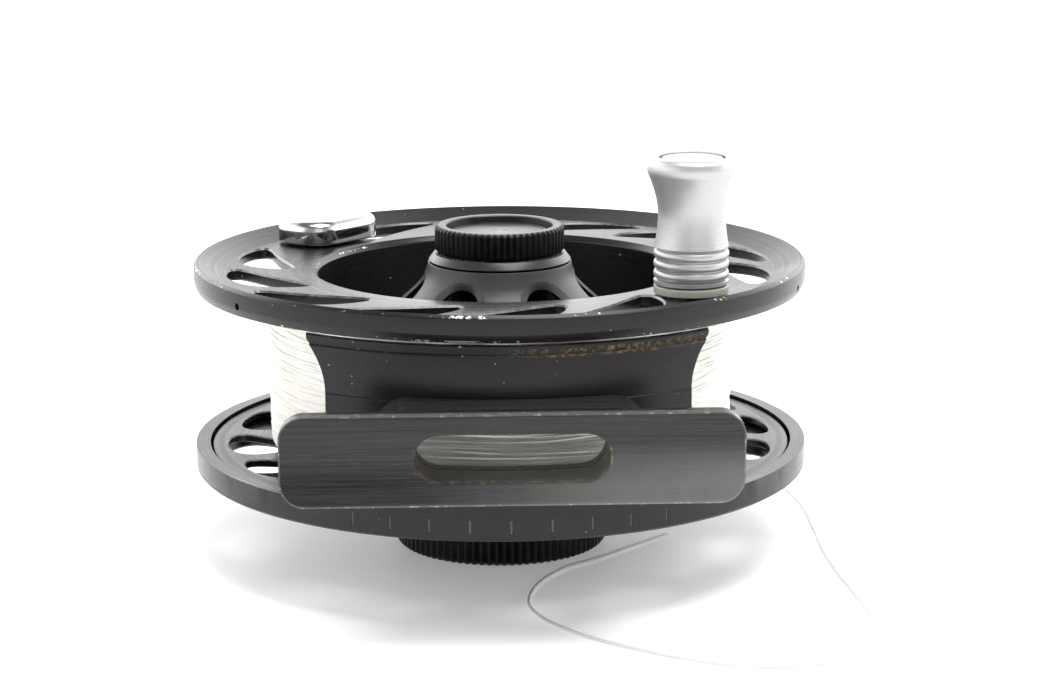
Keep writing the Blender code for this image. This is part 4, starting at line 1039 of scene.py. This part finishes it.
def make_line():
    """A plain core with 140 uneven loops of line laid over it."""
    low, high = LINE_SPAN
    core = [(30.3, high), (35.0, high, 0.6), (35.78, high - 1.2, 0.6), (35.78, low + 1.2, 0.6),
            (35.0, low, 0.6), (30.3, low)]
    core = put("line_core", lathe("line_core", fillet(core, 0.2), 160))
    white = wound_line("white_line")
    dress(core, white, "spool", "white_line", "line_pack")
    rng = random.Random(7)
    work = bmesh.new()
    loops, around, sides = 140, 112, 6
    for k in range(loops):
        level = low + 0.5 + (high - low - 1.0) * (k + rng.uniform(-0.6, 0.6)) / (loops - 1)
        tilt = rng.choice((-1.0, 1.0)) * rng.uniform(0.2, 2.2)
        lead = rng.uniform(0.0, 2 * pi)
        wobble = rng.uniform(0.1, 0.45)
        thick = rng.uniform(0.20, 0.26)
        base = rng.uniform(35.68, 35.88)
        rings = []
        for i in range(around):
            a = 2 * pi * i / around
            height = level + tilt * sin(a + lead) + wobble * sin(3 * a + 2 * lead)
            height = min(max(height, low + 0.35), high - 0.35)
            ease = min(1.0, min(height - low, high - height) / 1.2)
            middle = base - 0.35 * (1.0 - ease) + 0.06 * sin(5 * a + lead)
            ring = []
            for s in range(sides):
                b = 2 * pi * s / sides
                radius = middle + thick * cos(b)
                ring.append(work.verts.new((radius * cos(a), radius * sin(a),
                                            height + thick * sin(b))))
            rings.append(ring)
        for i in range(around):
            a, b = rings[i], rings[(i + 1) % around]
            for s in range(sides):
                t = (s + 1) % sides
                work.faces.new((a[s], b[s], b[t], a[t]))
    bmesh.ops.recalc_face_normals(work, faces=work.faces)
    strands = put("line_strands", mesh_of(work, "line_strands"), 180.0)
    dress(strands, white, "spool", "white_line")
    loose_line.data.materials.append(clear_line("loose_line"))


# ---------------------------------------------------------------- pieces that keep their CAD shape

def finish_cad_nodes():
    steel = turned_metal("stainless_steel", (0.56, 0.56, 0.57), 0.30)
    spring = turned_metal("spring_steel", (0.40, 0.40, 0.43), 0.32, 4.0)
    bronze = turned_metal("bronze_bush", (0.50, 0.34, 0.16), 0.36)
    black = anodised("black_anodised_housing", rough=0.34)
    by_slot = {
        "stainless_steel": steel, "spring_steel": spring, "bronze_bush": bronze,
        "black_anodised": black, "black_knurl": black, "carbon_disc": carbon("carbon_disc"),
        "black_acetal": moulded("black_acetal", (0.02, 0.02, 0.02), 0.45),
        "seal_rubber": moulded("seal_rubber", (0.016, 0.016, 0.016), 0.7),
        "satin_aluminium": bronze, "polished_steel": steel,
    }
    slots = {row["node"]: row["material_slot"] for row in frame["record"]["subparts"]}
    for name, node in frame["nodes"].items():
        kind = slots.get(name)
        if kind in by_slot:
            for place in node.material_slots:
                place.material = by_slot[kind]


# ---------------------------------------------------------------- stage and light

def make_stage():
    work = bmesh.new()
    bmesh.ops.create_grid(work, x_segments=1, y_segments=1, size=4.0)
    mesh = mesh_of(work, "table")
    table = bpy.data.objects.new("table", mesh)
    table.location = (0.0, 0.0, -0.00005)
    scene.collection.objects.link(table)
    m = Recipe("table_white")
    cloud = m.noise(0.004, 2.0, 0.5)
    mesh.materials.append(m.finish(m.mix(cloud, (0.90, 0.90, 0.90), (0.92, 0.92, 0.92)), 0.55,
                                     Emission_Color=(1.0, 1.0, 1.0, 1.0),
                                     Emission_Strength=0.22))


def make_studio():
    """White to the camera; for reflections dim in front with a brighter strip and bright at both
    sides. Three soft lamps give the shadows.
    """
    world = bpy.data.worlds.new("studio")
    scene.world = world
    world.use_nodes = True
    w = Wiring(world.node_tree)
    nodes = w.tree.nodes
    plain = nodes["Background"]
    plain.inputs["Color"].default_value = (1.0, 1.0, 1.0, 1.0)
    split = nodes.new("ShaderNodeSeparateXYZ")
    w.feed(split.inputs[0], nodes.new("ShaderNodeTexCoord").outputs["Generated"])
    right, back, up = split.outputs
    bearing = w.math("ARCTAN2", right, w.times(back, -1.0))
    level = w.add(0.40, w.times(w.band(bearing, 0.04, 0.40, 0.16), 0.60))
    level = w.add(level, w.times(w.ramp(bearing, -0.55, -1.15), 1.90))
    level = w.add(level, w.times(w.ramp(bearing, 0.85, 1.55), 2.10))
    level = w.blend(w.ramp(up, 0.45, 0.85), level, 0.15)
    path = nodes.new("ShaderNodeLightPath").outputs
    level = w.blend(path["Is Diffuse Ray"], level, 0.92)
    lit = nodes.new("ShaderNodeBackground")
    lit.inputs["Color"].default_value = (1.0, 1.0, 1.0, 1.0)
    w.feed(lit.inputs["Strength"], level)
    choose = nodes.new("ShaderNodeMixShader")
    w.feed(choose.inputs[0], path["Is Camera Ray"])
    w.feed(choose.inputs[1], lit.outputs[0])
    w.feed(choose.inputs[2], plain.outputs[0])
    w.feed(nodes["World Output"].inputs["Surface"], choose.outputs[0])

    for name, place, size, power in (("overhead", (0.13, -0.09, 0.75), 0.44, 5.8),
                                     ("back_left", (-0.55, 0.65, 0.45), 0.5, 2.0),
                                     ("back_right", (0.60, 0.55, 0.40), 0.5, 1.6)):
        light = bpy.data.lights.new(name, "AREA")
        light.shape = "SQUARE"
        light.size = size
        light.energy = power
        lamp = bpy.data.objects.new(name, light)
        lamp.location = place
        aim = Vector((0.0, 0.0, 0.02)) - Vector(place)
        lamp.rotation_euler = aim.to_track_quat("-Z", "Y").to_euler()
        scene.collection.objects.link(lamp)
    scene.view_settings.view_transform = "Standard"


make_frame()
make_foot()
make_spool()
make_collar()
make_handle()
make_counterweight()
make_cap()
make_knob()
make_line()
finish_cad_nodes()
make_stage()
make_studio()
